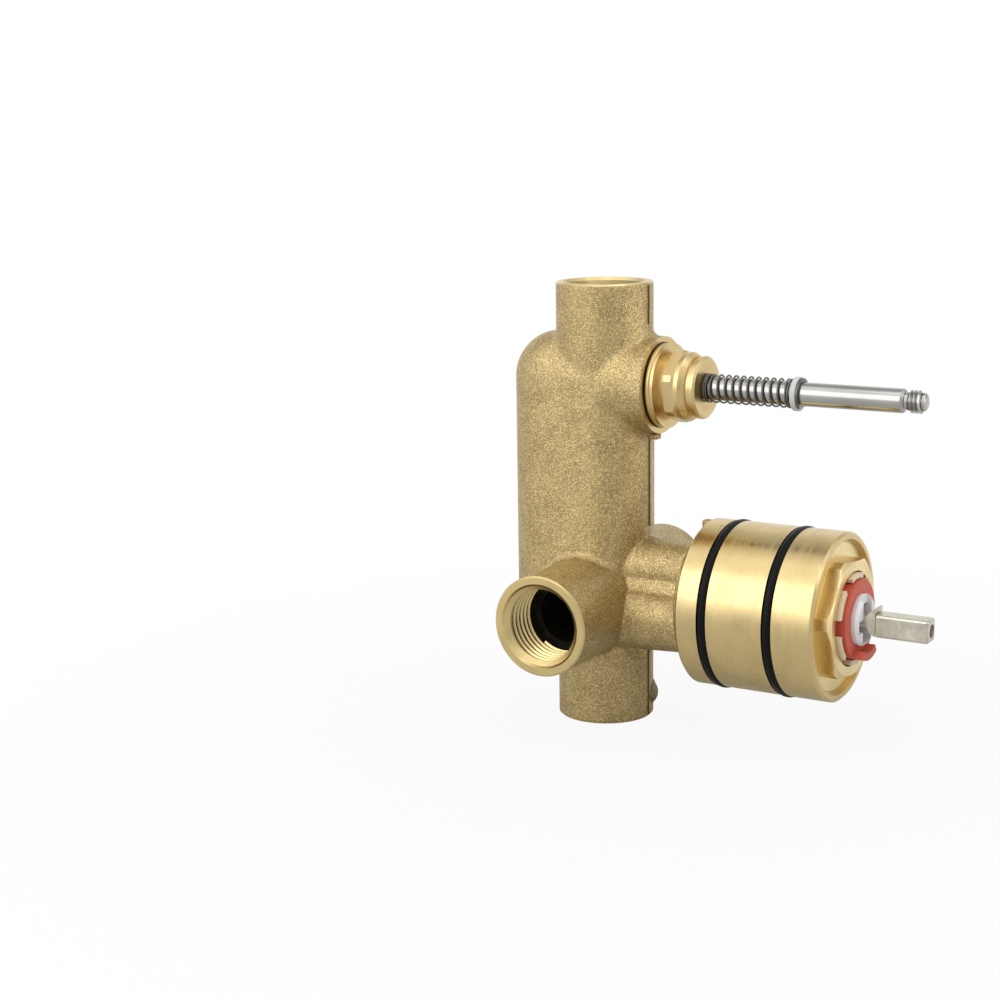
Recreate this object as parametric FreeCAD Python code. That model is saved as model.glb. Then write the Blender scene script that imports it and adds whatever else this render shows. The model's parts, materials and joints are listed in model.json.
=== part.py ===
import FreeCAD, Part
import math
import os

# Concealed diverter valve, in millimetres. Origin: centre of the spout outlet's mouth.
# +Z is up to the shower outlet, +X is towards the cold inlet, and the cartridge and the
# diverter stem face -Y. "Reach" is the distance in front of the vertical tube's axis.

# Body tubes
BODY_HEIGHT = 116.6
OUTLET_DIAMETER = 25.5
INLET_HEIGHT = 31.9
INLET_SPAN = 71.6
INLET_DIAMETER = 26.2
CHAMBER_DIAMETER = 26.0
SHOULDER_FLAT = 1.0
REAR_WALL = 2.7
REAR_FOOT_DROP = 5.0
MOUTH_CHAMFER = 0.4
OUTLET_BLEND = 2.5
INLET_BLEND = 2.0
BOSS_BLEND = 3.0
CREASE_ANGLE = 20.0
OVERRUN = 1.0

# Port threads are G 1/2: the bore is cut at the thread's outer diameter
THREAD_DIAMETER = 20.96
THREAD_DEPTH = 14.0
MOUTH_FLARE = 0.57
MOUTH_DEPTH = 0.8
PASSAGE_DIAMETER = 15.0
MIN_WALL = 2.0
DRILL_END = 0.6

# Neck and cartridge cup
CUP_RISE = 2.64
NECK_LENGTH = 30.9
NECK_DRAFT = 3.0
NECK_UPPER_DIAMETER = 14.9
NECK_UPPER_SINK = 2.0
NECK_LOWER_OVERLAP = 1.1
NECK_LOWER_LIFT = 0.9
NECK_LOWER_INSET = 1.0
NECK_CORE_DIAMETER = 18.2
NECK_VALLEY = 1.0
COLLAR_STEP = 4.3
COLLAR_THICKNESS = 2.3
CUP_WALL = 3.9
CUP_LENGTH = 36.8
CUP_FLOOR = 3.6
CUP_EDGE = 0.6
RECESS_STEP = 0.8
RECESS_DEPTH = 1.5
NUT_THREAD_STEP = 1.3
NUT_THREAD_RUNOUT = 1.0
THREAD_CLEARANCE = 0.05
O_RING_SECTION = 2.6
O_RING_PROUD = 0.35
REAR_RING_OFFSET = 7.4
FRONT_RING_INSET = 11.85

# Cartridge
CARTRIDGE_DIAMETER = 35.0
CARTRIDGE_CLEARANCE = 0.2
BASE_FLANGE = 2.5
BASE_HEIGHT = 6.0
HOUSING_WALL = 2.1
HOUSING_TOP = 3.6
CHANNEL_DIAMETER = 7.2
CHANNEL_SIDE_INSET = 10.0
INLET_CHANNEL_INSET = 11.5
MIXED_CHANNEL_INSET = 8.7
SEAL_SECTION = 1.6
SEAL_GROOVE_DEPTH = 1.7
FIXED_DISC_ROOM = 0.9
FIXED_DISC_HEIGHT = 4.0
DISC_FILM = 0.05
MOVING_DISC_ROOM = 3.9
MOVING_DISC_HEIGHT = 3.5
POCKET_DEPTH = 1.8
POCKET_INSET = 4.4
POCKET_RISE = 1.5
CARRIER_HEIGHT = 5.0
CARRIER_FLOOR = 0.8
ROTOR_GAP = 0.4
ROTOR_FLANGE_ROOM = 1.4
ROTOR_FLANGE_HEIGHT = 3.0
ROTOR_DIAMETER = 17.6
ROTOR_CLEARANCE = 0.3
ROTOR_NOSE_DIAMETER = 13.2
ROTOR_NOSE_LENGTH = 5.5
ROTOR_EDGE = 0.8
ROTOR_POCKET_WIDTH = 2.7
ROTOR_POCKET_HEIGHT = 3.3
ROTOR_POCKET_DEPTH = 2.4
ROTOR_POCKET_DROP = 0.9
BRIDGE_SETBACK = 1.1
BRIDGE_ROOM = 0.2
COLLAR_WALL = 1.3
COLLAR_LENGTH = 2.9
COLLAR_PROUD = 1.0
COLLAR_NOTCHES = 6
COLLAR_NOTCH_WIDTH = 4.2
RING_DIAMETER = 20.2
RING_LENGTH = 3.5
RING_FIT = 0.1
RING_TAB_LENGTH = 2.6
RING_TAB_SPAN = 58.0
RING_TAB_WALL = 2.0

# Cartridge nut
NUT_FLAT_STEP = 4.45
NUT_CORNER_STEP = 2.95
NUT_HEX_HEIGHT = 4.1
NUT_HOLE_CLEARANCE = 0.4
NUT_CHAMFER = 0.7
NUT_FACE_STEP = 0.1
NUT_TURN = 6.4

# Lever
LEVER_WIDTH = 5.2
LEVER_HEIGHT = 5.8
LEVER_DROP = 0.6
LEVER_LENGTH = 28.3
LEVER_EDGE = 0.7
LEVER_TAIL = 4.0
LEVER_SLOT_CLEARANCE = 0.15
LEVER_SLOT_OVERRUN = 0.2
LEVER_HEAD_DIAMETER = 7.5
LEVER_HEAD_LENGTH = 2.45
LEVER_HEAD_RISE = 0.2
LEVER_HEAD_GAP = 0.12
LEVER_SHANK_DIAMETER = 4.0
LEVER_GROOVE_WIDTH = 0.35
LEVER_GROOVE_DEPTH = 0.4
LEVER_HOLE_DIAMETER = 3.4
LEVER_HOLE_DEPTH = 4.0
LEVER_TILT = 12.5
PIN_DIAMETER = 2.5
PIN_ROOM = 0.03
PIN_INSET = 0.4
PIN_BEHIND_SHOULDER = 6.2
BALL_DIAMETER = 4.4
BALL_PLAY = 0.25
BALL_NECK_DIAMETER = 3.4

# Diverter
DIVERTER_DROP = 26.35
BOSS_DIAMETER = 25.2
BOSS_REACH = 17.0
BONNET_THREAD_DIAMETER = 19.0
BONNET_THREAD_LENGTH = 8.0
CHAMBER_STEP = 0.4
GASKET_DIAMETER = 22.2
GASKET_HEIGHT = 0.4
GASKET_ROOM = 0.1
FLANGE_DIAMETER = 22.0
FLANGE_HEIGHT = 2.0
FLANGE_GROOVE = 0.25
RELIEF_DIAMETER = 16.4
RELIEF_LENGTH = 1.8
BONNET_FLATS = 17.4
BONNET_CORNERS = 19.2
BONNET_HEX_HEIGHT = 3.0
HEX_FRONT_CHAMFER = 0.6
HEX_BACK_CHAMFER = 0.3
HEX_BACK_STEP = 0.4
BONNET_TURN = 18.9
SHANK_DIAMETER = 17.9
SHANK_LENGTH = 1.1
SHANK_TAPER = 1.5
SHANK_NOSE_DIAMETER = 16.0
NECK_DIAMETER = 15.0
NECK_GROOVE = 1.3
HEAD_DIAMETER = 16.1
HEAD_LENGTH = 1.5
HEAD_CHAMFER = 0.5
CAGE_ROOM = 0.9
CAGE_WALL = 1.8
CAGE_END = 1.6
CAGE_LENGTH = 7.4
CAGE_WINDOW = 6.0
CAGE_WINDOW_INSET = 0.5
SEAT_DIAMETER = 10.4
STEM_DIAMETER = 6.0
STEM_CLEARANCE = 0.05
STEM_SEAL_SECTION = 1.8
STEM_SEAL_PITCH = 4.0
SEAL_ROOM = 0.03
STROKE = 8.0
PISTON_ROOM = 2.1
PISTON_HEIGHT = 1.5
VALVE_SEAL_HEIGHT = 1.2
SPIGOT_STEP = 1.0
SPIGOT_BEYOND_NUT = 0.4
STEM_FIT = 0.02
PISTON_NUT_FLATS = 7.0
PISTON_NUT_HEIGHT = 2.4
REAR_SEAT_WALL = 2.0
REAR_CHANNEL_DIAMETER = 10.0
REAR_FOOT_DIAMETER = 9.0
SUPPLY_DIAMETER = 9.6
UPPER_PASSAGE_DIAMETER = 8.0
SPRING_ROOM = 0.25
SPRING_WIRE = 0.5
SPRING_LENGTH = 24.2
SPRING_END_TURNS = 2.0
SPRING_TURNS = 10.5
SPRING_EASE = 0.03
WASHER_RIM = 0.55
WASHER_HEIGHT = 1.4
CLIP_RIM = 1.0
CLIP_HEIGHT = 0.6
CLIP_GROOVE_DEPTH = 0.5
CLIP_OPENING = 0.8
ROD_BEYOND_CLIP = 26.6
ROD_CHAMFER = 0.6
UNDERCUT_STEP = 0.75
UNDERCUT_LENGTH = 0.9
TIP_STEP = 0.15
TIP_LENGTH = 4.4
TIP_CHAMFER = 0.8

# Derived heights, and the water ways' distances from the cup's axis
CUP_HEIGHT = INLET_HEIGHT + CUP_RISE
DIVERTER_HEIGHT = BODY_HEIGHT - DIVERTER_DROP
REAR_FOOT_HEIGHT = INLET_HEIGHT - REAR_FOOT_DROP
CHANNEL_SPREAD = CARTRIDGE_DIAMETER / 2 - CHANNEL_SIDE_INSET
INLET_CHANNEL_DROP = CARTRIDGE_DIAMETER / 2 - INLET_CHANNEL_INSET
MIXED_CHANNEL_RISE = CARTRIDGE_DIAMETER / 2 - MIXED_CHANNEL_INSET
HOT_HEIGHT = CUP_HEIGHT - INLET_CHANNEL_DROP
MIXED_HEIGHT = CUP_HEIGHT + MIXED_CHANNEL_RISE
NECK_UPPER_RISE = MIXED_CHANNEL_RISE - NECK_UPPER_SINK
NECK_LOWER_DROP = INLET_CHANNEL_DROP - NECK_LOWER_LIFT
NECK_LOWER_SPREAD = CHANNEL_SPREAD - NECK_LOWER_INSET
NECK_LOWER_DIAMETER = 2 * (NECK_LOWER_SPREAD + NECK_LOWER_OVERLAP)

# Derived reaches, cartridge side
CUP_FRONT = NECK_LENGTH + CUP_LENGTH
FRONT_RING_OFFSET = CUP_LENGTH - FRONT_RING_INSET
CUP_SEAT = NECK_LENGTH + CUP_FLOOR
BASE_TOP = CUP_SEAT + BASE_HEIGHT
FIXED_TOP = BASE_TOP + FIXED_DISC_HEIGHT
MOVING_BOTTOM = FIXED_TOP + DISC_FILM
MOVING_TOP = MOVING_BOTTOM + MOVING_DISC_HEIGHT
CARRIER_TOP = MOVING_TOP + CARRIER_HEIGHT
ROTOR_BOTTOM = CARRIER_TOP + ROTOR_GAP
ROTOR_SHOULDER = ROTOR_BOTTOM + ROTOR_FLANGE_HEIGHT
HOUSING_CEILING = ROTOR_SHOULDER + ROTOR_GAP / 2
HOUSING_SHOULDER = HOUSING_CEILING + HOUSING_TOP
NUT_SHOULDER = CUP_FRONT - RECESS_DEPTH
NUT_FRONT = NUT_SHOULDER + NUT_HEX_HEIGHT
COLLAR_TOP = NUT_FRONT + COLLAR_PROUD
COLLAR_FLOOR = COLLAR_TOP - COLLAR_LENGTH
RING_BOTTOM = COLLAR_FLOOR + ROTOR_GAP / 2
RING_TOP = RING_BOTTOM + RING_LENGTH
ROTOR_TOP = COLLAR_FLOOR + ROTOR_NOSE_LENGTH
PIN_REACH = COLLAR_FLOOR - PIN_BEHIND_SHOULDER
BALL_REACH = MOVING_TOP + CARRIER_FLOOR + BALL_PLAY + BALL_DIAMETER / 2
LEVER_END = PIN_REACH + LEVER_LENGTH

# The lever's head clears the rotor, and its shank the rotor's slot, at full tilt
TILT = math.radians(LEVER_TILT)
HEAD_ARM = ROTOR_TOP - PIN_REACH + LEVER_HEAD_GAP + LEVER_HEAD_RISE * math.sin(TILT)
LEVER_HEAD_BACK = PIN_REACH + HEAD_ARM / math.cos(TILT)
LEVER_HEAD_FRONT = LEVER_HEAD_BACK + LEVER_HEAD_LENGTH
BRIDGE_FRONT = ROTOR_TOP - BRIDGE_SETBACK
SHANK_TOP = LEVER_SHANK_DIAMETER / 2 - LEVER_DROP
SHANK_LOW = LEVER_SHANK_DIAMETER / 2 + LEVER_DROP
SHANK_RISE = (BRIDGE_FRONT - PIN_REACH) * math.tan(TILT) + SHANK_TOP / math.cos(TILT)
SHANK_FALL = (ROTOR_TOP - PIN_REACH) * math.tan(TILT) + SHANK_LOW / math.cos(TILT)
SLOT_RISE = SHANK_RISE + BRIDGE_ROOM
SLOT_DROP = SHANK_FALL + BRIDGE_ROOM

# Derived radii and diameters, cartridge side
MOUTH_DIAMETER = THREAD_DIAMETER + 2 * MOUTH_FLARE
CUP_BORE = CARTRIDGE_DIAMETER / 2 + CARTRIDGE_CLEARANCE
CUP_DIAMETER = 2 * (CUP_BORE + CUP_WALL)
COLLAR_DIAMETER = CUP_DIAMETER - 2 * COLLAR_STEP
NUT_THREAD_DIAMETER = 2 * (CUP_BORE + NUT_THREAD_STEP)
RECESS_DIAMETER = NUT_THREAD_DIAMETER + 2 * RECESS_STEP
NUT_FLATS = NUT_THREAD_DIAMETER - 2 * NUT_FLAT_STEP
NUT_CORNERS = NUT_THREAD_DIAMETER - 2 * NUT_CORNER_STEP
CAVITY = CARTRIDGE_DIAMETER / 2 - HOUSING_WALL
FIXED_DISC_DIAMETER = 2 * (CAVITY - FIXED_DISC_ROOM)
MOVING_DISC_DIAMETER = 2 * (CAVITY - MOVING_DISC_ROOM)
POCKET_DIAMETER = MOVING_DISC_DIAMETER - 2 * POCKET_INSET
ROTOR_FLANGE_DIAMETER = 2 * (CAVITY - ROTOR_FLANGE_ROOM)
HOUSING_BORE = ROTOR_DIAMETER / 2 + ROTOR_CLEARANCE
COLLAR_BORE = RING_DIAMETER / 2 + ROTOR_CLEARANCE
COLLAR_OUTER = COLLAR_BORE + COLLAR_WALL
NUT_HOLE = COLLAR_OUTER + NUT_HOLE_CLEARANCE
SLOT_WIDTH = LEVER_WIDTH + 2 * LEVER_SLOT_CLEARANCE
SLOT_HALF = ROTOR_NOSE_DIAMETER / 2 + LEVER_SLOT_OVERRUN

# Derived reaches, diverter side. Inwards of the boss the reach falls, then goes negative.
FLANGE_BACK = BOSS_REACH + GASKET_HEIGHT
FLANGE_FRONT = FLANGE_BACK + FLANGE_HEIGHT
HEX_BACK = FLANGE_FRONT + RELIEF_LENGTH
HEX_FRONT = HEX_BACK + BONNET_HEX_HEIGHT
SHANK_EDGE = HEX_FRONT + SHANK_LENGTH
SHANK_FRONT = SHANK_EDGE + SHANK_TAPER
HEAD_BACK = SHANK_FRONT + NECK_GROOVE
HEAD_FRONT = HEAD_BACK + HEAD_LENGTH
SPRING_FRONT = HEAD_FRONT + SPRING_LENGTH
WASHER_FRONT = SPRING_FRONT + WASHER_HEIGHT
CLIP_FRONT = WASHER_FRONT + CLIP_HEIGHT
ROD_FRONT = CLIP_FRONT + ROD_BEYOND_CLIP
TIP_BACK = ROD_FRONT + UNDERCUT_LENGTH
TIP_FRONT = TIP_BACK + TIP_LENGTH
THREAD_END = BOSS_REACH - BONNET_THREAD_LENGTH
CAGE_SEAT = THREAD_END - CAGE_LENGTH
SHOWER_SEAL_FRONT = CAGE_SEAT - DISC_FILM
PISTON_FRONT = SHOWER_SEAL_FRONT - VALVE_SEAL_HEIGHT
PISTON_BACK = PISTON_FRONT - PISTON_HEIGHT
SPOUT_SEAL_BACK = PISTON_BACK - VALVE_SEAL_HEIGHT
REAR_SEAT = SPOUT_SEAL_BACK - STROKE - DISC_FILM
REAR_CHANNEL_Y = -REAR_SEAT + REAR_SEAT_WALL + REAR_CHANNEL_DIAMETER / 2
REAR_OFFSET = REAR_CHANNEL_Y + REAR_CHANNEL_DIAMETER / 2 + REAR_WALL - CHAMBER_DIAMETER / 2
SUPPLY_Y = -(CAGE_SEAT + REAR_SEAT) / 2
UPPER_PASSAGE_Y = -(CAGE_SEAT + CAGE_END + UPPER_PASSAGE_DIAMETER / 2)

# Derived radii and diameters, diverter side
CHAMBER_BORE = BONNET_THREAD_DIAMETER / 2 - CHAMBER_STEP
CAGE_DIAMETER = 2 * (CHAMBER_BORE - CAGE_ROOM)
PISTON_DIAMETER = 2 * (CHAMBER_BORE - PISTON_ROOM)
SPIGOT_DIAMETER = STEM_DIAMETER - 2 * SPIGOT_STEP
SPIGOT_BORE = SPIGOT_DIAMETER / 2 + STEM_FIT
TIP_DIAMETER = STEM_DIAMETER - 2 * TIP_STEP
UNDERCUT_DIAMETER = TIP_DIAMETER - 2 * UNDERCUT_STEP
CLIP_DIAMETER = STEM_DIAMETER + 2 * CLIP_RIM
SPRING_DIAMETER = STEM_DIAMETER + 2 * (SPRING_ROOM + SPRING_WIRE)
WASHER_DIAMETER = SPRING_DIAMETER + 2 * WASHER_RIM

FRONT = FreeCAD.Vector(0, -1, 0)
UP = FreeCAD.Vector(0, 0, 1)
ACROSS = FreeCAD.Vector(1, 0, 0)


def vec(x, y, z):
    return FreeCAD.Vector(x, y, z)


def rod(diameter, start, length, x, z):
    """Cylinder that points forwards, from reach start to start + length."""
    return Part.makeCylinder(diameter / 2, length, vec(x, -start, z), FRONT)


def post(diameter, start, end, x, y):
    """Upright cylinder from height start to end."""
    return Part.makeCylinder(diameter / 2, end - start, vec(x, y, start), UP)


def turned(profile, z):
    """Solid of revolution about the forward axis at height z, from (reach, radius) points."""
    points = [vec(radius, -reach, z) for reach, radius in profile]
    face = Part.Face(Part.makePolygon(points + points[:1]))
    return face.revolve(vec(0, 0, z), FRONT, 360)


def ring(outer, inner, start, end, z):
    """Flat ring about the forward axis between two radii and two reaches."""
    return turned([(start, inner), (end, inner), (end, outer), (start, outer)], z)


def box(width, start, end, low, high):
    """Block centred on X, between two reaches and two heights."""
    return Part.makeBox(width, end - start, high - low, vec(-width / 2, -end, low))


def hexagon(flats, start, length, z, turn):
    """Hexagonal prism about the forward axis; turn is the first corner's angle from -X."""
    corner = flats / math.sqrt(3)
    points = []
    for i in range(6):
        angle = math.radians(180 - turn + 60 * i)
        points.append(vec(corner * math.cos(angle), -start, z + corner * math.sin(angle)))
    return Part.Face(Part.makePolygon(points + points[:1])).extrude(FRONT * length)


def fuse_all(shapes):
    first = shapes[0]
    return first.multiFuse(shapes[1:]).removeSplitter()


def middle_of(edge):
    return edge.valueAt((edge.FirstParameter + edge.LastParameter) / 2)


def is_crease(shape, edge):
    """True where the two faces at an edge meet at a clear angle."""
    faces = shape.ancestorsOfType(edge, Part.Face)
    if len(faces) != 2:
        return False
    first, second = [f.normalAt(*f.Surface.parameter(middle_of(edge))) for f in faces]
    return first.getAngle(second) > math.radians(CREASE_ANGLE)


def on_skin(edge, solid):
    return Part.Vertex(middle_of(edge)).distToShape(solid.Shells[0])[0] < 1e-4


def blend(first, second, radius):
    """Joins two solids and rounds the creases where their skins meet."""
    whole = first.fuse(second).removeSplitter()
    edges = [
        edge for edge in whole.Edges
        if on_skin(edge, first) and on_skin(edge, second) and is_crease(whole, edge)
    ]
    return whole.makeFillet(radius, edges)


def chamber_block():
    """Upright block of stadium section, with round ends, for the front way and rear channel."""
    r = CHAMBER_DIAMETER / 2
    low = REAR_FOOT_HEIGHT - r
    high = DIVERTER_HEIGHT + r
    outline = Part.Wire(
        [
            Part.Arc(vec(-r, 0, low), vec(0, -r, low), vec(r, 0, low)).toShape(),
            Part.LineSegment(vec(r, 0, low), vec(r, REAR_OFFSET, low)).toShape(),
            Part.Arc(
                vec(r, REAR_OFFSET, low), vec(0, REAR_OFFSET + r, low), vec(-r, REAR_OFFSET, low)
            ).toShape(),
            Part.LineSegment(vec(-r, REAR_OFFSET, low), vec(-r, 0, low)).toShape(),
        ]
    )
    block = Part.Face(outline).extrude(UP * (high - low))
    ends = [edge for edge in block.Edges if edge.BoundBox.ZLength < 0.001]
    return block.makeFillet(r - SHOULDER_FLAT, ends)


def lobe(diameter, x, z):
    """Cast lobe of the neck, drafted from its diameter at the cup back to the tube's axis."""
    front = diameter / 2
    back = front + NECK_LENGTH * math.tan(math.radians(NECK_DRAFT))
    return Part.makeCone(back, front, NECK_LENGTH, vec(x, 0, z), FRONT)


def neck():
    """Three water ways round a core, with the valleys between them rounded."""
    low = CUP_HEIGHT - NECK_LOWER_DROP
    lobes = fuse_all(
        [
            lobe(NECK_CORE_DIAMETER, 0, CUP_HEIGHT),
            lobe(NECK_UPPER_DIAMETER, 0, CUP_HEIGHT + NECK_UPPER_RISE),
            lobe(NECK_LOWER_DIAMETER, -NECK_LOWER_SPREAD, low),
            lobe(NECK_LOWER_DIAMETER, NECK_LOWER_SPREAD, low),
        ]
    )
    valleys = [
        edge for edge in lobes.Edges
        if edge.BoundBox.YLength > NECK_LENGTH - 0.001 and is_crease(lobes, edge)
    ]
    return lobes.makeFillet(NECK_VALLEY, valleys)


def port_thread(mouth, outward):
    """Mouth and thread bore of one port, as a turned tool that points out of the mouth."""
    thread = Part.makeCylinder(THREAD_DIAMETER / 2, THREAD_DEPTH, mouth, outward * -1)
    cone = Part.makeCone(
        MOUTH_DIAMETER / 2, THREAD_DIAMETER / 2, MOUTH_DEPTH, mouth, outward * -1
    )
    return thread.fuse(cone)


def outer_body():
    """Everything the casting adds: tubes, boss, neck and cup."""
    outlets = post(OUTLET_DIAMETER, 0, BODY_HEIGHT, 0, 0)
    outlets = outlets.makeChamfer(MOUTH_CHAMFER, outlets.Edges)
    inlets = Part.makeCylinder(
        INLET_DIAMETER / 2, INLET_SPAN, vec(-INLET_SPAN / 2, 0, INLET_HEIGHT), ACROSS
    )
    inlets = inlets.makeChamfer(MOUTH_CHAMFER, inlets.Edges)
    boss = rod(BOSS_DIAMETER, 0, BOSS_REACH, 0, DIVERTER_HEIGHT)
    collar = rod(COLLAR_DIAMETER, NECK_LENGTH - COLLAR_THICKNESS, COLLAR_THICKNESS, 0, CUP_HEIGHT)
    cup = turned(
        [
            (NECK_LENGTH, 0),
            (CUP_FRONT, 0),
            (CUP_FRONT, CUP_DIAMETER / 2 - CUP_EDGE),
            (CUP_FRONT - CUP_EDGE, CUP_DIAMETER / 2),
            (NECK_LENGTH + CUP_EDGE, CUP_DIAMETER / 2),
            (NECK_LENGTH, CUP_DIAMETER / 2 - CUP_EDGE),
        ],
        CUP_HEIGHT,
    )
    body = blend(chamber_block(), outlets, OUTLET_BLEND)
    body = blend(body, boss, BOSS_BLEND)
    body = blend(body, inlets, INLET_BLEND)
    return fuse_all([body, neck(), collar, cup])


def o_ring_groove(offset):
    """Square groove round the cup for an O-ring, as a tool."""
    middle = NECK_LENGTH + offset
    depth = O_RING_SECTION - O_RING_PROUD
    half = O_RING_SECTION / 2
    return ring(CUP_DIAMETER, CUP_DIAMETER / 2 - depth, middle - half, middle + half, CUP_HEIGHT)


def port_tools():
    """Threads and plain passages behind the four ports."""
    half = INLET_SPAN / 2
    inlet_end = CHANNEL_SPREAD - CHANNEL_DIAMETER / 2 - DRILL_END
    inlet_passage = half - THREAD_DEPTH - inlet_end
    outlet_top = INLET_HEIGHT - PASSAGE_DIAMETER / 2 - MIN_WALL
    shower_foot = DIVERTER_HEIGHT + CHAMBER_BORE + MIN_WALL
    tools = [
        port_thread(vec(0, 0, 0), UP * -1),
        port_thread(vec(0, 0, BODY_HEIGHT), UP),
        port_thread(vec(-half, 0, INLET_HEIGHT), ACROSS * -1),
        port_thread(vec(half, 0, INLET_HEIGHT), ACROSS),
        post(PASSAGE_DIAMETER, -OVERRUN, outlet_top, 0, 0),
        post(PASSAGE_DIAMETER, shower_foot, BODY_HEIGHT + OVERRUN, 0, 0),
    ]
    for side in (-1, 1):
        tools.append(
            Part.makeCylinder(
                PASSAGE_DIAMETER / 2, inlet_passage + OVERRUN,
                vec(side * inlet_end, 0, INLET_HEIGHT), ACROSS * side,
            )
        )
    return tools


def channel_tools():
    """Water ways inside the casting: two inlets, mixed water, rear channel, diverter."""
    bend = vec(0, REAR_CHANNEL_Y, REAR_FOOT_HEIGHT)
    down = vec(0, 0, THREAD_DEPTH - MIN_WALL) - bend
    mixed_start = -SUPPLY_Y
    channel_end = CUP_SEAT + OVERRUN
    seat_length = REAR_CHANNEL_Y + REAR_SEAT + OVERRUN
    tools = [
        rod(CHANNEL_DIAMETER, 0, channel_end, -CHANNEL_SPREAD, HOT_HEIGHT),
        rod(CHANNEL_DIAMETER, 0, channel_end, CHANNEL_SPREAD, HOT_HEIGHT),
        rod(CHANNEL_DIAMETER, mixed_start, channel_end - mixed_start, 0, MIXED_HEIGHT),
        post(SUPPLY_DIAMETER, MIXED_HEIGHT - CHANNEL_DIAMETER / 2, DIVERTER_HEIGHT, 0, SUPPLY_Y),
        post(REAR_CHANNEL_DIAMETER, REAR_FOOT_HEIGHT, DIVERTER_HEIGHT, 0, REAR_CHANNEL_Y),
        Part.makeSphere(REAR_CHANNEL_DIAMETER / 2, bend),
        Part.makeSphere(REAR_CHANNEL_DIAMETER / 2, vec(0, REAR_CHANNEL_Y, DIVERTER_HEIGHT)),
        Part.makeCylinder(REAR_FOOT_DIAMETER / 2, down.Length, bend, down),
        rod(BONNET_THREAD_DIAMETER, THREAD_END, BOSS_REACH + OVERRUN - THREAD_END, 0, DIVERTER_HEIGHT),
        rod(2 * CHAMBER_BORE, REAR_SEAT, THREAD_END + OVERRUN - REAR_SEAT, 0, DIVERTER_HEIGHT),
        rod(SEAT_DIAMETER, -REAR_CHANNEL_Y, seat_length, 0, DIVERTER_HEIGHT),
        post(
            UPPER_PASSAGE_DIAMETER, DIVERTER_HEIGHT,
            DIVERTER_HEIGHT + CHAMBER_BORE + MIN_WALL + OVERRUN, 0, UPPER_PASSAGE_Y,
        ),
    ]
    return tools


def cup_tools():
    """Cartridge chamber, nut thread and front recess of the cup."""
    thread_start = HOUSING_SHOULDER - NUT_THREAD_RUNOUT
    return [
        rod(2 * CUP_BORE, CUP_SEAT, CUP_LENGTH, 0, CUP_HEIGHT),
        rod(NUT_THREAD_DIAMETER, thread_start, CUP_LENGTH, 0, CUP_HEIGHT),
        rod(RECESS_DIAMETER, NUT_SHOULDER, CUP_LENGTH, 0, CUP_HEIGHT),
        o_ring_groove(REAR_RING_OFFSET),
        o_ring_groove(FRONT_RING_OFFSET),
    ]


def valve_body():
    body = outer_body()
    for tool in port_tools() + channel_tools() + cup_tools():
        body = body.cut(tool)
    return body


def cup_o_ring(offset):
    centre = CUP_DIAMETER / 2 + O_RING_PROUD - O_RING_SECTION / 2
    return Part.makeTorus(
        centre, O_RING_SECTION / 2, vec(0, -NECK_LENGTH - offset, CUP_HEIGHT), FRONT
    )


def cartridge_nut():
    skirt = rod(
        NUT_THREAD_DIAMETER - 2 * THREAD_CLEARANCE, HOUSING_SHOULDER,
        NUT_SHOULDER - HOUSING_SHOULDER, 0, CUP_HEIGHT,
    )
    hex_part = hexagon(NUT_FLATS, NUT_SHOULDER, NUT_HEX_HEIGHT, CUP_HEIGHT, NUT_TURN)
    corner = NUT_CORNERS / 2
    turned_edge = turned(
        [
            (NUT_SHOULDER, 0),
            (NUT_FRONT, 0),
            (NUT_FRONT, NUT_FLATS / 2 - NUT_FACE_STEP),
            (NUT_FRONT - NUT_CHAMFER, corner),
            (NUT_SHOULDER, corner),
        ],
        CUP_HEIGHT,
    )
    nut = skirt.fuse(hex_part.common(turned_edge))
    hole = rod(2 * NUT_HOLE, HOUSING_SHOULDER - OVERRUN, NUT_FRONT, 0, CUP_HEIGHT)
    return nut.cut(hole).removeSplitter()


def cartridge_housing():
    outer = CARTRIDGE_DIAMETER / 2
    start = CUP_SEAT + BASE_FLANGE
    shell = turned(
        [
            (start, CAVITY),
            (HOUSING_CEILING, CAVITY),
            (HOUSING_CEILING, HOUSING_BORE),
            (COLLAR_FLOOR, HOUSING_BORE),
            (COLLAR_FLOOR, COLLAR_BORE),
            (COLLAR_TOP, COLLAR_BORE),
            (COLLAR_TOP, COLLAR_OUTER),
            (HOUSING_SHOULDER, COLLAR_OUTER),
            (HOUSING_SHOULDER, outer),
            (start, outer),
        ],
        CUP_HEIGHT,
    )
    for i in range(COLLAR_NOTCHES):
        notch = Part.makeBox(
            COLLAR_OUTER, COLLAR_LENGTH + OVERRUN, COLLAR_NOTCH_WIDTH,
            vec(COLLAR_BORE - OVERRUN, -COLLAR_TOP - OVERRUN, CUP_HEIGHT - COLLAR_NOTCH_WIDTH / 2),
        )
        notch.rotate(vec(0, 0, CUP_HEIGHT), FRONT, 360 * i / COLLAR_NOTCHES)
        shell = shell.cut(notch)
    return shell


def water_holes(diameter, start, end):
    """Tools for the hot, cold and mixed water holes through the cartridge."""
    length = end - start
    return [
        rod(diameter, start, length, -CHANNEL_SPREAD, HOT_HEIGHT),
        rod(diameter, start, length, CHANNEL_SPREAD, HOT_HEIGHT),
        rod(diameter, start, length, 0, MIXED_HEIGHT),
    ]


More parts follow.
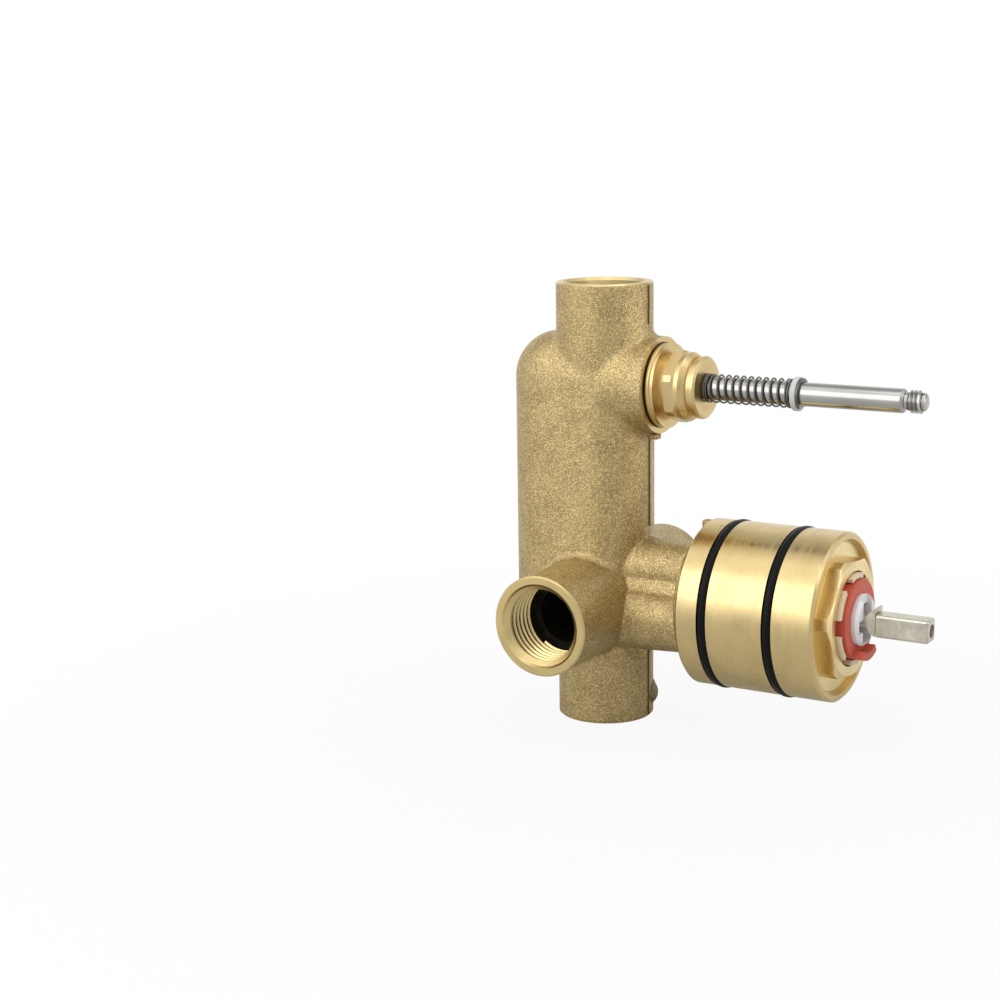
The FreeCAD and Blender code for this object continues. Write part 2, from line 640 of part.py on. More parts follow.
def cartridge_base():
    base = turned(
        [
            (CUP_SEAT, 0),
            (BASE_TOP, 0),
            (BASE_TOP, CAVITY - CARTRIDGE_CLEARANCE),
            (CUP_SEAT + BASE_FLANGE, CAVITY - CARTRIDGE_CLEARANCE),
            (CUP_SEAT + BASE_FLANGE, CARTRIDGE_DIAMETER / 2),
            (CUP_SEAT, CARTRIDGE_DIAMETER / 2),
        ],
        CUP_HEIGHT,
    )
    recess = CHANNEL_DIAMETER + 2 * SEAL_SECTION
    tools = water_holes(CHANNEL_DIAMETER, CUP_SEAT - OVERRUN, BASE_TOP + OVERRUN)
    tools += water_holes(recess, CUP_SEAT - OVERRUN, CUP_SEAT + SEAL_GROOVE_DEPTH)
    for tool in tools:
        base = base.cut(tool)
    return base


def port_seal(x, z):
    """Rubber ring between the cup's floor and the cartridge base round one water hole."""
    inner = CHANNEL_DIAMETER / 2
    seal = rod(2 * (inner + SEAL_SECTION), CUP_SEAT, SEAL_GROOVE_DEPTH, x, z)
    return seal.cut(rod(2 * inner, CUP_SEAT - OVERRUN, SEAL_GROOVE_DEPTH + 2 * OVERRUN, x, z))


def fixed_disc():
    disc = rod(FIXED_DISC_DIAMETER, BASE_TOP, FIXED_DISC_HEIGHT, 0, CUP_HEIGHT)
    for tool in water_holes(CHANNEL_DIAMETER, BASE_TOP - OVERRUN, FIXED_TOP + OVERRUN):
        disc = disc.cut(tool)
    return disc


def moving_disc():
    disc = rod(MOVING_DISC_DIAMETER, MOVING_BOTTOM, MOVING_DISC_HEIGHT, 0, CUP_HEIGHT)
    start = MOVING_BOTTOM - OVERRUN
    pocket = rod(POCKET_DIAMETER, start, POCKET_DEPTH + OVERRUN, 0, CUP_HEIGHT + POCKET_RISE)
    return disc.cut(pocket)


def disc_carrier():
    carrier = rod(MOVING_DISC_DIAMETER, MOVING_TOP, CARRIER_HEIGHT, 0, CUP_HEIGHT)
    socket = BALL_DIAMETER + 2 * BALL_PLAY
    hole = rod(socket, MOVING_TOP + CARRIER_FLOOR, CARRIER_HEIGHT, 0, CUP_HEIGHT)
    return carrier.cut(hole)


def rotor():
    """Turning piece with a bridged slot for the lever and a pocket in each cheek."""
    body = turned(
        [
            (ROTOR_BOTTOM, 0),
            (ROTOR_TOP, 0),
            (ROTOR_TOP, ROTOR_NOSE_DIAMETER / 2 - ROTOR_EDGE),
            (ROTOR_TOP - ROTOR_EDGE, ROTOR_NOSE_DIAMETER / 2),
            (COLLAR_FLOOR, ROTOR_NOSE_DIAMETER / 2),
            (COLLAR_FLOOR, ROTOR_DIAMETER / 2),
            (ROTOR_SHOULDER, ROTOR_DIAMETER / 2),
            (ROTOR_SHOULDER, ROTOR_FLANGE_DIAMETER / 2),
            (ROTOR_BOTTOM, ROTOR_FLANGE_DIAMETER / 2),
        ],
        CUP_HEIGHT,
    )
    back = ROTOR_BOTTOM - OVERRUN
    front = ROTOR_TOP + OVERRUN
    low = CUP_HEIGHT - SLOT_HALF
    high = CUP_HEIGHT + SLOT_HALF
    pocket_top = CUP_HEIGHT - ROTOR_POCKET_DROP + ROTOR_POCKET_HEIGHT / 2
    tools = [
        box(SLOT_WIDTH, back, front, CUP_HEIGHT - SLOT_DROP, CUP_HEIGHT + SLOT_RISE),
        box(SLOT_WIDTH, back, COLLAR_FLOOR, low, high),
        box(SLOT_WIDTH, BRIDGE_FRONT, front, CUP_HEIGHT, high),
        box(
            SLOT_WIDTH + 2 * ROTOR_POCKET_WIDTH, ROTOR_TOP - ROTOR_POCKET_DEPTH, front,
            pocket_top - ROTOR_POCKET_HEIGHT, pocket_top,
        ),
        Part.makeCylinder(
            PIN_DIAMETER / 2, ROTOR_DIAMETER, vec(-ROTOR_DIAMETER / 2, -PIN_REACH, CUP_HEIGHT), ACROSS
        ),
    ]
    for tool in tools:
        body = body.cut(tool)
    return body


def lever_pin():
    length = ROTOR_DIAMETER - 2 * PIN_INSET
    return Part.makeCylinder(
        PIN_DIAMETER / 2, length, vec(-length / 2, -PIN_REACH, CUP_HEIGHT), ACROSS
    )


def lever_head():
    """Round-backed head of the lever, flat in front."""
    radius = LEVER_HEAD_DIAMETER / 2
    centre = vec(-LEVER_WIDTH / 2, -LEVER_HEAD_BACK - radius, CUP_HEIGHT + LEVER_HEAD_RISE)
    whole = Part.makeCylinder(radius, LEVER_WIDTH, centre, ACROSS)
    low = CUP_HEIGHT - LEVER_HEAD_DIAMETER
    high = CUP_HEIGHT + LEVER_HEAD_DIAMETER
    return whole.common(box(LEVER_WIDTH, LEVER_HEAD_BACK, LEVER_HEAD_FRONT, low, high))


def lever():
    """Square bar and round head outside the rotor; shank, pin eye and ball inside it."""
    middle = CUP_HEIGHT - LEVER_DROP
    low = middle - LEVER_HEIGHT / 2
    high = middle + LEVER_HEIGHT / 2
    bar_back = LEVER_HEAD_FRONT + LEVER_GROOVE_WIDTH
    bar = box(LEVER_WIDTH, bar_back, LEVER_END, low, high)
    free_edges = [edge for edge in bar.Edges if middle_of(edge).y < -bar_back - 0.001]
    bar = bar.makeFillet(LEVER_EDGE, free_edges)
    root = box(
        LEVER_WIDTH - 2 * LEVER_GROOVE_DEPTH, LEVER_HEAD_FRONT, bar_back,
        low + LEVER_GROOVE_DEPTH, high - LEVER_GROOVE_DEPTH,
    )
    shank = rod(LEVER_SHANK_DIAMETER, PIN_REACH, LEVER_HEAD_FRONT - PIN_REACH, 0, middle)
    eye = box(LEVER_WIDTH, PIN_REACH - LEVER_TAIL, PIN_REACH + LEVER_TAIL, low, high)
    tail = rod(BALL_NECK_DIAMETER, BALL_REACH, PIN_REACH - BALL_REACH, 0, CUP_HEIGHT)
    ball = Part.makeSphere(BALL_DIAMETER / 2, vec(0, -BALL_REACH, CUP_HEIGHT))
    shape = fuse_all([bar, root, lever_head(), shank, eye, tail, ball])
    pin_hole = Part.makeCylinder(
        PIN_DIAMETER / 2 + PIN_ROOM, 2 * LEVER_WIDTH, vec(-LEVER_WIDTH, -PIN_REACH, CUP_HEIGHT), ACROSS
    )
    hole_back = LEVER_END - LEVER_HOLE_DEPTH
    end_hole = rod(LEVER_HOLE_DIAMETER, hole_back, LEVER_HOLE_DEPTH + OVERRUN, 0, middle)
    return shape.cut(pin_hole).cut(end_hole)


def limit_ring():
    outer = RING_DIAMETER / 2
    inner = ROTOR_NOSE_DIAMETER / 2 + RING_FIT
    hoop = ring(outer, inner, RING_BOTTOM, RING_TOP, CUP_HEIGHT)
    lip = ring(outer, outer - RING_TAB_WALL, RING_TOP, RING_TOP + RING_TAB_LENGTH, CUP_HEIGHT)
    reach = 2 * outer
    half = math.radians(RING_TAB_SPAN / 2)
    corners = [
        vec(0, -RING_TOP, CUP_HEIGHT),
        vec(-reach * math.sin(half), -RING_TOP, CUP_HEIGHT - reach * math.cos(half)),
        vec(reach * math.sin(half), -RING_TOP, CUP_HEIGHT - reach * math.cos(half)),
    ]
    wedge = Part.Face(Part.makePolygon(corners + corners[:1])).extrude(FRONT * RING_TAB_LENGTH)
    return hoop.fuse(lip.common(wedge)).removeSplitter()


def bonnet():
    """Diverter head: flange, hexagon and head outside, thread and cage inside."""
    z = DIVERTER_HEIGHT
    flange = FLANGE_DIAMETER / 2
    head = HEAD_DIAMETER / 2
    thread = BONNET_THREAD_DIAMETER / 2 - THREAD_CLEARANCE
    groove = FLANGE_BACK + FLANGE_HEIGHT / 2
    outline = turned(
        [
            (CAGE_SEAT, 0),
            (HEAD_FRONT, 0),
            (HEAD_FRONT, head - HEAD_CHAMFER),
            (HEAD_FRONT - HEAD_CHAMFER, head),
            (HEAD_BACK, head),
            (HEAD_BACK, NECK_DIAMETER / 2),
            (SHANK_FRONT, NECK_DIAMETER / 2),
            (SHANK_FRONT, SHANK_NOSE_DIAMETER / 2),
            (SHANK_EDGE, SHANK_DIAMETER / 2),
            (HEX_FRONT, SHANK_DIAMETER / 2),
            (HEX_FRONT, RELIEF_DIAMETER / 2),
            (FLANGE_FRONT, RELIEF_DIAMETER / 2),
            (FLANGE_FRONT, flange),
            (groove + FLANGE_GROOVE, flange),
            (groove, flange - FLANGE_GROOVE),
            (groove - FLANGE_GROOVE, flange),
            (FLANGE_BACK, flange),
            (FLANGE_BACK, thread),
            (THREAD_END, thread),
            (THREAD_END, CAGE_DIAMETER / 2),
            (CAGE_SEAT, CAGE_DIAMETER / 2),
        ],
        z,
    )
    corner = BONNET_CORNERS / 2
    hex_part = hexagon(BONNET_FLATS, HEX_BACK, BONNET_HEX_HEIGHT, z, BONNET_TURN)
    hex_part = hex_part.common(
        turned(
            [
                (HEX_BACK, 0),
                (HEX_FRONT, 0),
                (HEX_FRONT, SHANK_DIAMETER / 2),
                (HEX_FRONT - HEX_FRONT_CHAMFER, corner),
                (HEX_BACK + HEX_BACK_CHAMFER, corner),
                (HEX_BACK, corner - HEX_BACK_STEP),
            ],
            z,
        )
    )
    shape = outline.fuse(hex_part)
    cavity = CAGE_DIAMETER / 2 - CAGE_WALL
    tools = [
        rod(STEM_DIAMETER + 2 * STEM_CLEARANCE, CAGE_SEAT, HEAD_FRONT, 0, z),
        rod(2 * cavity, CAGE_SEAT + CAGE_END, CAGE_LENGTH - CAGE_END, 0, z),
        rod(SEAT_DIAMETER, CAGE_SEAT - OVERRUN, CAGE_END + 2 * OVERRUN, 0, z),
        stem_seal_room(outer_seal_reach()),
        stem_seal_room(inner_seal_reach()),
    ]
    window_start = CAGE_SEAT + CAGE_END
    window_end = THREAD_END - CAGE_WINDOW_INSET
    for turn in (0, 90):
        window = box(CAGE_WINDOW, window_start, window_end, z - CAGE_DIAMETER, z + CAGE_DIAMETER)
        window.rotate(vec(0, 0, z), FRONT, turn)
        tools.append(window)
    for tool in tools:
        shape = shape.cut(tool)
    return shape.removeSplitter()


def outer_seal_reach():
    return HEX_FRONT


def inner_seal_reach():
    return HEX_FRONT - STEM_SEAL_PITCH


def stem_seal_room(reach):
    """Square groove in the bonnet's bore for one stem seal."""
    half = STEM_SEAL_SECTION / 2
    outer = STEM_DIAMETER / 2 + STEM_SEAL_SECTION + SEAL_ROOM
    return ring(outer, STEM_DIAMETER / 2 - OVERRUN, reach - half, reach + half, DIVERTER_HEIGHT)


def stem_seal(reach):
    centre = STEM_DIAMETER / 2 + SEAL_ROOM + STEM_SEAL_SECTION / 2
    return Part.makeTorus(centre, STEM_SEAL_SECTION / 2, vec(0, -reach, DIVERTER_HEIGHT), FRONT)


def bonnet_gasket():
    inner = BONNET_THREAD_DIAMETER / 2 + GASKET_ROOM
    return ring(GASKET_DIAMETER / 2, inner, BOSS_REACH, FLANGE_BACK, DIVERTER_HEIGHT)


def stem():
    """Diverter rod with the threaded spigot inside and the threaded tip outside."""
    radius = STEM_DIAMETER / 2
    spigot = SPIGOT_DIAMETER / 2
    tip = TIP_DIAMETER / 2
    groove = radius - CLIP_GROOVE_DEPTH
    spigot_end = SPOUT_SEAL_BACK - PISTON_NUT_HEIGHT - SPIGOT_BEYOND_NUT
    return turned(
        [
            (spigot_end, 0),
            (TIP_FRONT, 0),
            (TIP_FRONT, tip - TIP_CHAMFER),
            (TIP_FRONT - TIP_CHAMFER, tip),
            (TIP_BACK, tip),
            (TIP_BACK, UNDERCUT_DIAMETER / 2),
            (ROD_FRONT, UNDERCUT_DIAMETER / 2),
            (ROD_FRONT, radius - ROD_CHAMFER),
            (ROD_FRONT - ROD_CHAMFER, radius),
            (CLIP_FRONT, radius),
            (CLIP_FRONT, groove),
            (WASHER_FRONT, groove),
            (WASHER_FRONT, radius),
            (SHOWER_SEAL_FRONT, radius),
            (SHOWER_SEAL_FRONT, spigot),
            (spigot_end, spigot),
        ],
        DIVERTER_HEIGHT,
    )


def spring_washer():
    return ring(
        WASHER_DIAMETER / 2, STEM_DIAMETER / 2 + STEM_FIT, SPRING_FRONT, WASHER_FRONT, DIVERTER_HEIGHT
    )


def stem_clip():
    """Retaining ring with its gap at the bottom."""
    inner = STEM_DIAMETER / 2 - CLIP_GROOVE_DEPTH
    hoop = ring(CLIP_DIAMETER / 2, inner, WASHER_FRONT, CLIP_FRONT, DIVERTER_HEIGHT)
    gap = box(
        2 * inner * CLIP_OPENING, WASHER_FRONT - OVERRUN, CLIP_FRONT + OVERRUN,
        DIVERTER_HEIGHT - CLIP_DIAMETER, DIVERTER_HEIGHT,
    )
    return hoop.cut(gap)


def return_spring():
    """Coil spring with closed end turns, swept along three helices in one wire."""
    wire = SPRING_WIRE
    radius = (SPRING_DIAMETER - wire) / 2
    end_pitch = wire + SPRING_EASE
    end_height = end_pitch * SPRING_END_TURNS
    middle_height = SPRING_LENGTH - wire - 2 * end_height - 2 * SPRING_EASE
    heights = [end_height, middle_height, end_height]
    turns = [SPRING_END_TURNS, SPRING_TURNS, SPRING_END_TURNS]
    edges = []
    start = 0
    turned_by = 0
    for height, count in zip(heights, turns):
        helix = Part.makeHelix(height / count, height, radius)
        helix.rotate(vec(0, 0, 0), UP, 360 * turned_by)
        helix.translate(vec(0, 0, start))
        edges += helix.Edges
        start += height
        turned_by += count
    corners = []
    for i in range(8):
        angle = math.radians(45 * i)
        corners.append(vec(radius + wire / 2 * math.cos(angle), 0, wire / 2 * math.sin(angle)))
    section = Part.makePolygon(corners + corners[:1])
    coil = Part.Wire(edges).makePipeShell([section], True, True)
    coil.rotate(vec(0, 0, 0), ACROSS, 90)
    coil.translate(vec(0, -HEAD_FRONT - wire / 2 - SPRING_EASE, DIVERTER_HEIGHT))
    return coil


def piston():
    return ring(
        PISTON_DIAMETER / 2, SPIGOT_BORE, PISTON_BACK, PISTON_FRONT, DIVERTER_HEIGHT
    )


def valve_seal(back):
    return ring(
        PISTON_DIAMETER / 2, SPIGOT_BORE, back, back + VALVE_SEAL_HEIGHT, DIVERTER_HEIGHT
    )


def piston_nut():
    back = SPOUT_SEAL_BACK - PISTON_NUT_HEIGHT
    nut = hexagon(PISTON_NUT_FLATS, back, PISTON_NUT_HEIGHT, DIVERTER_HEIGHT, 0)
    hole = rod(
        2 * SPIGOT_BORE, back - OVERRUN, PISTON_NUT_HEIGHT + 2 * OVERRUN, 0, DIVERTER_HEIGHT
    )
    return nut.cut(hole)


os.makedirs("parts", exist_ok=True)
PIECES = {
    "valve_body": valve_body(),
    "rear_cup_o_ring": cup_o_ring(REAR_RING_OFFSET),
    "front_cup_o_ring": cup_o_ring(FRONT_RING_OFFSET),
    "cartridge_nut": cartridge_nut(),
    "cartridge_housing": cartridge_housing(),
    "cartridge_base": cartridge_base(),
    "hot_port_seal": port_seal(-CHANNEL_SPREAD, HOT_HEIGHT),
    "cold_port_seal": port_seal(CHANNEL_SPREAD, HOT_HEIGHT),
    "mixed_port_seal": port_seal(0, MIXED_HEIGHT),
    "fixed_disc": fixed_disc(),
    "moving_disc": moving_disc(),
    "disc_carrier": disc_carrier(),
    "rotor": rotor(),
    "lever_pin": lever_pin(),
    "lever": lever(),
    "limit_ring": limit_ring(),
    "bonnet": bonnet(),
    "bonnet_gasket": bonnet_gasket(),
    "inner_stem_seal": stem_seal(inner_seal_reach()),
    "outer_stem_seal": stem_seal(outer_seal_reach()),
    "stem": stem(),
    "spring_washer": spring_washer(),
    "stem_clip": stem_clip(),
    "return_spring": return_spring(),
    "piston": piston(),
    "shower_seal": valve_seal(PISTON_FRONT),
    "spout_seal": valve_seal(SPOUT_SEAL_BACK),
    "piston_nut": piston_nut(),
}
for name, shape in PIECES.items():
    shape.exportStep("parts/" + name + ".step")
    print(name, shape.isValid(), len(shape.Solids), round(shape.Volume, 1))
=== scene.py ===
"""Looks of a cast brass in-wall mixing valve with a lever cartridge and a push diverter."""

import json
import math

import bmesh
import bpy
from bpy.props import FloatProperty, FloatVectorProperty, IntProperty, PointerProperty
from mathutils import Matrix, Vector
from mathutils import noise as turbulence


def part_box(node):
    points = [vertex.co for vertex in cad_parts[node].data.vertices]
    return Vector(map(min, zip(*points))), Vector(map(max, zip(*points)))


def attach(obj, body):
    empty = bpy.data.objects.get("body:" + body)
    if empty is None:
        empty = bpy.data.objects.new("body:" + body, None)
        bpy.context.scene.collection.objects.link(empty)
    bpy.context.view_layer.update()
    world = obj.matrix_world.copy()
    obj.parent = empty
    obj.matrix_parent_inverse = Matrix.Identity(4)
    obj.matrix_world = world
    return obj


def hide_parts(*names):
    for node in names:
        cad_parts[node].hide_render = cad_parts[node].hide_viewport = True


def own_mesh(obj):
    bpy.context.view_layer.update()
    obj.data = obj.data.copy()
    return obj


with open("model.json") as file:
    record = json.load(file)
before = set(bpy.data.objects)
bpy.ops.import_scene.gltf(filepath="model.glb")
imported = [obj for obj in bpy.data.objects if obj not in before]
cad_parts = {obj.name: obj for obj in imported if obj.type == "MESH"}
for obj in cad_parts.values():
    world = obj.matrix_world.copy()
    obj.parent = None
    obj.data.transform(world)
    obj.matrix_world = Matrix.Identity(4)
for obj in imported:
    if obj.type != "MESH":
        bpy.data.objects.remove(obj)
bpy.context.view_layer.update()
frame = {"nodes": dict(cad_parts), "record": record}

bl_info = {
    "name": "Concealed Diverter Valve",
    "version": (1, 0, 0),
    "blender": (4, 5, 0),
    "location": "View3D > Sidebar > Valve",
    "description": "Dresses the packed valve with its castings, threads, spring, finishes and studio",
    "category": "Object",
}

MM = 0.001
NODES = frame["nodes"]
MOUNTS = {mount["name"]: mount for mount in frame["record"]["mounts"]}
BODY_OF = {
    node: body
    for body, members in frame["record"]["behaviour"]["bodies"].items()
    for node in members
}

WELD = 0.002 * MM
SHARP = math.radians(32)
CREASE = math.radians(25)
FLAT_CREASE = math.radians(11)
COPLANAR = math.radians(0.5)
EDGE_SEGMENTS = 3
ANY_REACH = -1.0


def middle(node):
    """Centre of a node's box."""
    low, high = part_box(node)
    return (low + high) / 2


# Places of the valve's forms; a reach is a distance in front of the upright tube's axis, along -Y
BODY_LOW, BODY_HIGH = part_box("valve_body")
CUP_AXIS = middle("front_cup_o_ring").z
STEM_AXIS = middle("stem").z
INLET_AXIS = MOUNTS["hot_inlet"]["pos_m"][2]
INLET_END = BODY_HIGH.x
TUBE_TOP = BODY_HIGH.z
TUBE_RADIUS = 12.75 * MM
CHAMBER_RADIUS = 13.0 * MM
CUP_BACK = 30.9 * MM
BOSS_FRONT = -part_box("bonnet_gasket")[1].y
BOSS_RADIUS = 20.0 * MM
CARTRIDGE_NOSE = 64.0 * MM

# Port threads: depths are measured from the port's mouth
THREAD_RADIUS = MOUNTS["hot_inlet"]["dims"]["r_mm"] * MM
THREAD_FLOOR = 14.0 * MM
THREAD_START = 1.9 * MM
THREAD_SINK = 0.08 * MM
LEAD_IN_LENGTH = 1.2 * MM
LEAD_IN_STEP = 0.06 * MM
CREST_SHARE = 0.10
ROOT_SHARE = 0.46

# Faces of the casting that are machined
FACED_EDGE = 0.45 * MM
PORT_WALL = THREAD_RADIUS + 0.62 * MM
BORE_END = THREAD_FLOOR - 0.01 * MM
CUP_SHOULDER = CUP_BACK - 0.01 * MM
BOSS_FACE = BOSS_FRONT - 0.05 * MM

# Mould marks: the seam's stretches are (reach of the surface, low, high)
SEAM_STRETCHES = (
    (TUBE_RADIUS, 106.0 * MM, 115.8 * MM),
    (CHAMBER_RADIUS, 52.5 * MM, 75.5 * MM),
    (TUBE_RADIUS, 0.6 * MM, 18.5 * MM),
    (-TUBE_RADIUS, 106.0 * MM, 115.8 * MM),
    (-TUBE_RADIUS, 0.6 * MM, 12.0 * MM),
)
REAR_SEAM = (26.5 * MM, 91.0 * MM)
SEAM_ROOT = 0.4 * MM
SEAM_SHOULDER = 0.35
SEAM_FALL = 0.06 * MM
SEAM_FEATHER = 0.02 * MM
GATE_DEPTH = 2.4 * MM
GATE_PLACE = 5.7 * MM
GATE_TURN = math.radians(22)
GATE_ROUGHNESS = 0.4 * MM
GATE_LUMPS_PER_METRE = 620.0
# Flash as (back reach, front reach), (low, high) and the rounding of its edges
FLASH = {
    "boss_flash": ((12.6 * MM, 16.0 * MM), (75.9 * MM, 77.4 * MM), 0.35 * MM),
    "cup_flash": ((28.9 * MM, 31.2 * MM), (48.0 * MM, 55.9 * MM), 0.5 * MM),
}

# Nose of the stem's tip as (distance behind the front, distance inside the core)
TIP_NOSE = ((0.75 * MM, 0.0), (0.3 * MM, 0.22 * MM), (0.07 * MM, 0.6 * MM), (0.0, 1.1 * MM))
TIP_OVERLAP = 0.1 * MM
TIP_CUT = 0.02 * MM
TIP_THREAD_START = 0.25 * MM
TIP_CREST_HALF = 0.08 * MM
TIP_SINK = 0.05 * MM

# Pitch of the spring's closed turns, in diameters of its wire
CLOSED_PITCH = 1.06

# Turns that bring a lathe's local Y axis along the inlets and along the tube
ACROSS = (0, 0, -math.pi / 2)
UPRIGHT = (math.pi / 2, 0, 0)

# What the lamps point at, and the floor under it, with the distances over which it brightens
AIM = (0, -30.0 * MM, 60.0 * MM)
FLOOR_CENTRE = (0, -30.0 * MM, 0)
FLOOR_HALF = 4.0
FLOOR_GAP = 0.05 * MM
SHADOW_EDGE = (50.0 * MM, 220.0 * MM)
MIRRORED_EDGE = (40.0 * MM, 220.0 * MM)


class CastingSizes(bpy.types.PropertyGroup):
    """Marks that the mould leaves on the casting"""

    seam_width: FloatProperty(
        name="Seam width", description="Width over which the parting line's step runs out",
        default=3.2 * MM, unit="LENGTH", precision=5,
    )
    seam_height: FloatProperty(
        name="Seam height", description="How far the parting line stands proud",
        default=0.3 * MM, unit="LENGTH", precision=5,
    )
    gate_radius: FloatProperty(
        name="Gate radius", description="Half height of the broken-off gate on the lower tube",
        default=3.5 * MM, unit="LENGTH", precision=5,
    )
    gate_width: FloatProperty(
        name="Gate width", description="Width of the broken-off gate round the tube",
        default=9.5 * MM, unit="LENGTH", precision=5,
    )
    gate_height: FloatProperty(
        name="Gate height", description="How far the broken-off gate stands out of the tube",
        default=1.2 * MM, unit="LENGTH", precision=5,
    )
    flash_width: FloatProperty(
        name="Flash width", description="Width of the flash under the diverter boss",
        default=2.6 * MM, unit="LENGTH", precision=5,
    )


class ThreadSizes(bpy.types.PropertyGroup):
    """Cut threads of the ports and the stem"""

    pitch: FloatProperty(
        name="Port pitch", description="Pitch of the pipe thread in the ports",
        default=1.814 * MM, unit="LENGTH", precision=6,
    )
    depth: FloatProperty(
        name="Port depth", description="Height of the pipe thread's ridge",
        default=1.16 * MM, unit="LENGTH", precision=5,
    )
    turns: FloatProperty(
        name="Port turns", description="Turns of thread in each port", default=6.1, min=1.0,
    )
    tip_pitch: FloatProperty(
        name="Tip pitch", description="Pitch of the thread on the stem's tip",
        default=1.0 * MM, unit="LENGTH", precision=6,
    )
    tip_depth: FloatProperty(
        name="Tip depth", description="Height of the ridge on the stem's tip",
        default=0.6 * MM, unit="LENGTH", precision=5,
    )
    tip_length: FloatProperty(
        name="Tip length", description="Length of the stem's tip in front of its undercut",
        default=4.4 * MM, unit="LENGTH", precision=5,
    )
    tip_turns: FloatProperty(
        name="Tip turns", description="Turns of thread on the stem's tip", default=3.2, min=1.0,
    )
    steps: IntProperty(name="Steps", description="Steps round one turn of a thread", default=48, min=12)


class SpringSizes(bpy.types.PropertyGroup):
    """Return spring of the diverter"""

    wire: FloatProperty(
        name="Wire", description="Diameter of the spring's wire",
        default=0.5 * MM, unit="LENGTH", precision=5,
    )
    closed_turns: FloatProperty(
        name="Closed turns", description="Turns that lie side by side at each end", default=2.0,
    )
    open_turns: FloatProperty(
        name="Open turns", description="Turns between the closed ends", default=10.5,
    )
    steps: IntProperty(name="Steps", description="Steps round one turn of the wire", default=40, min=12)


class Finishes(bpy.types.PropertyGroup):
    """Colours of the valve's materials"""

    cast_dark: FloatVectorProperty(
        name="Casting, dark", description="Hollows of the sand-cast skin",
        subtype="COLOR", default=(0.27, 0.19, 0.08),
    )
    cast_light: FloatVectorProperty(
        name="Casting, light", description="Raised grains of the sand-cast skin",
        subtype="COLOR", default=(0.76, 0.585, 0.28),
    )
    turned: FloatVectorProperty(
        name="Turned brass", description="Lathe-cut faces of the cup and ports",
        subtype="COLOR", default=(0.71, 0.55, 0.265),
    )
    port_turned: FloatVectorProperty(
        name="Port brass", description="Lathe-cut mouths and threads of the ports",
        subtype="COLOR", default=(0.72, 0.56, 0.26),
    )
    warm_turned: FloatVectorProperty(
        name="Warm turned brass", description="Bar brass of the bonnet and piston",
        subtype="COLOR", default=(0.725, 0.55, 0.265),
    )
    nut_turned: FloatVectorProperty(
        name="Nut brass", description="Bar brass of the cartridge nut",
        subtype="COLOR", default=(0.90, 0.72, 0.37),
    )
    rubber: FloatVectorProperty(
        name="Rubber", description="Seals and O-rings", subtype="COLOR", default=(0.005, 0.005, 0.005),
    )
    cream: FloatVectorProperty(
        name="Cream plastic", description="Cartridge case", subtype="COLOR", default=(0.80, 0.66, 0.44),
    )
    white: FloatVectorProperty(
        name="White plastic", description="Rotor and disc carrier",
        subtype="COLOR", default=(0.80, 0.79, 0.80),
    )
    red: FloatVectorProperty(
        name="Red plastic", description="Temperature limit ring",
        subtype="COLOR", default=(0.58, 0.105, 0.06),
    )
    grey: FloatVectorProperty(
        name="Grey plastic", description="Washer in front of the spring",
        subtype="COLOR", default=(0.60, 0.60, 0.585),
    )
    ceramic: FloatVectorProperty(
        name="Ceramic", description="Lapped discs", subtype="COLOR", default=(0.85, 0.84, 0.80),
    )
    steel: FloatVectorProperty(
        name="Ground steel", description="Diverter rod and pin",
        subtype="COLOR", default=(0.47, 0.46, 0.44),
    )
    spring_steel: FloatVectorProperty(
        name="Spring steel", description="Drawn wire", subtype="COLOR", default=(0.20, 0.19, 0.175),
    )
    nickel: FloatVectorProperty(
        name="Dull nickel", description="Plated lever", subtype="COLOR", default=(0.80, 0.76, 0.64),
    )
    floor: FloatVectorProperty(
        name="Floor", description="Pale floor of the studio",
        subtype="COLOR", default=(0.55, 0.55, 0.55),
    )


class StudioSettings(bpy.types.PropertyGroup):
    """Camera and lamps"""

    camera_place: FloatVectorProperty(
        name="Camera", description="Place of the camera", subtype="TRANSLATION", unit="LENGTH",
        default=(-436.909 * MM, -235.982 * MM, 159.318 * MM),
    )
    camera_yaw: FloatProperty(
        name="Yaw", description="Turn of the view from +Y towards +X", subtype="ANGLE", default=1.0189,
    )
    camera_pitch: FloatProperty(
        name="Pitch", description="How far the view looks down", subtype="ANGLE", default=0.2002,
    )
    camera_roll: FloatProperty(
        name="Roll", description="Lean of the camera", subtype="ANGLE", default=0.0155,
    )
    lens: FloatProperty(
        name="Lens", description="Focal length on a 36 mm sensor, in millimetres", default=68.3,
    )
    key_power: FloatProperty(
        name="Key lamp", description="Soft lamp on the left", default=0.85, unit="POWER",
    )
    fill_power: FloatProperty(
        name="Fill lamp", description="Soft lamp on the right", default=0.7, unit="POWER",
    )
    top_power: FloatProperty(
        name="Top lamp", description="Soft lamp overhead", default=0.6, unit="POWER",
    )
    room_level: FloatProperty(
        name="Room", description="Level of the room between its windows", default=0.12,
    )
    left_window: FloatProperty(
        name="Left window", description="Level of the window on the left", default=1.15,
    )
    right_window: FloatProperty(
        name="Right window", description="Level of the window on the right", default=0.7,
    )
    top_window: FloatProperty(
        name="Top window", description="Level of the window overhead", default=0.42,
    )


# Shader node groups

def new_group(name, setting, default, outputs):
    """Empty shader group with a vector and one named number in, and named values out."""
    tree = bpy.data.node_groups.new(name, "ShaderNodeTree")
    tree.interface.new_socket("Vector", in_out="INPUT", socket_type="NodeSocketVector")
    number = tree.interface.new_socket(setting, in_out="INPUT", socket_type="NodeSocketFloat")
    number.default_value = default
    for label in outputs:
        tree.interface.new_socket(label, in_out="OUTPUT", socket_type="NodeSocketFloat")
    return tree, tree.nodes.new("NodeGroupInput").outputs, tree.nodes.new("NodeGroupOutput").inputs


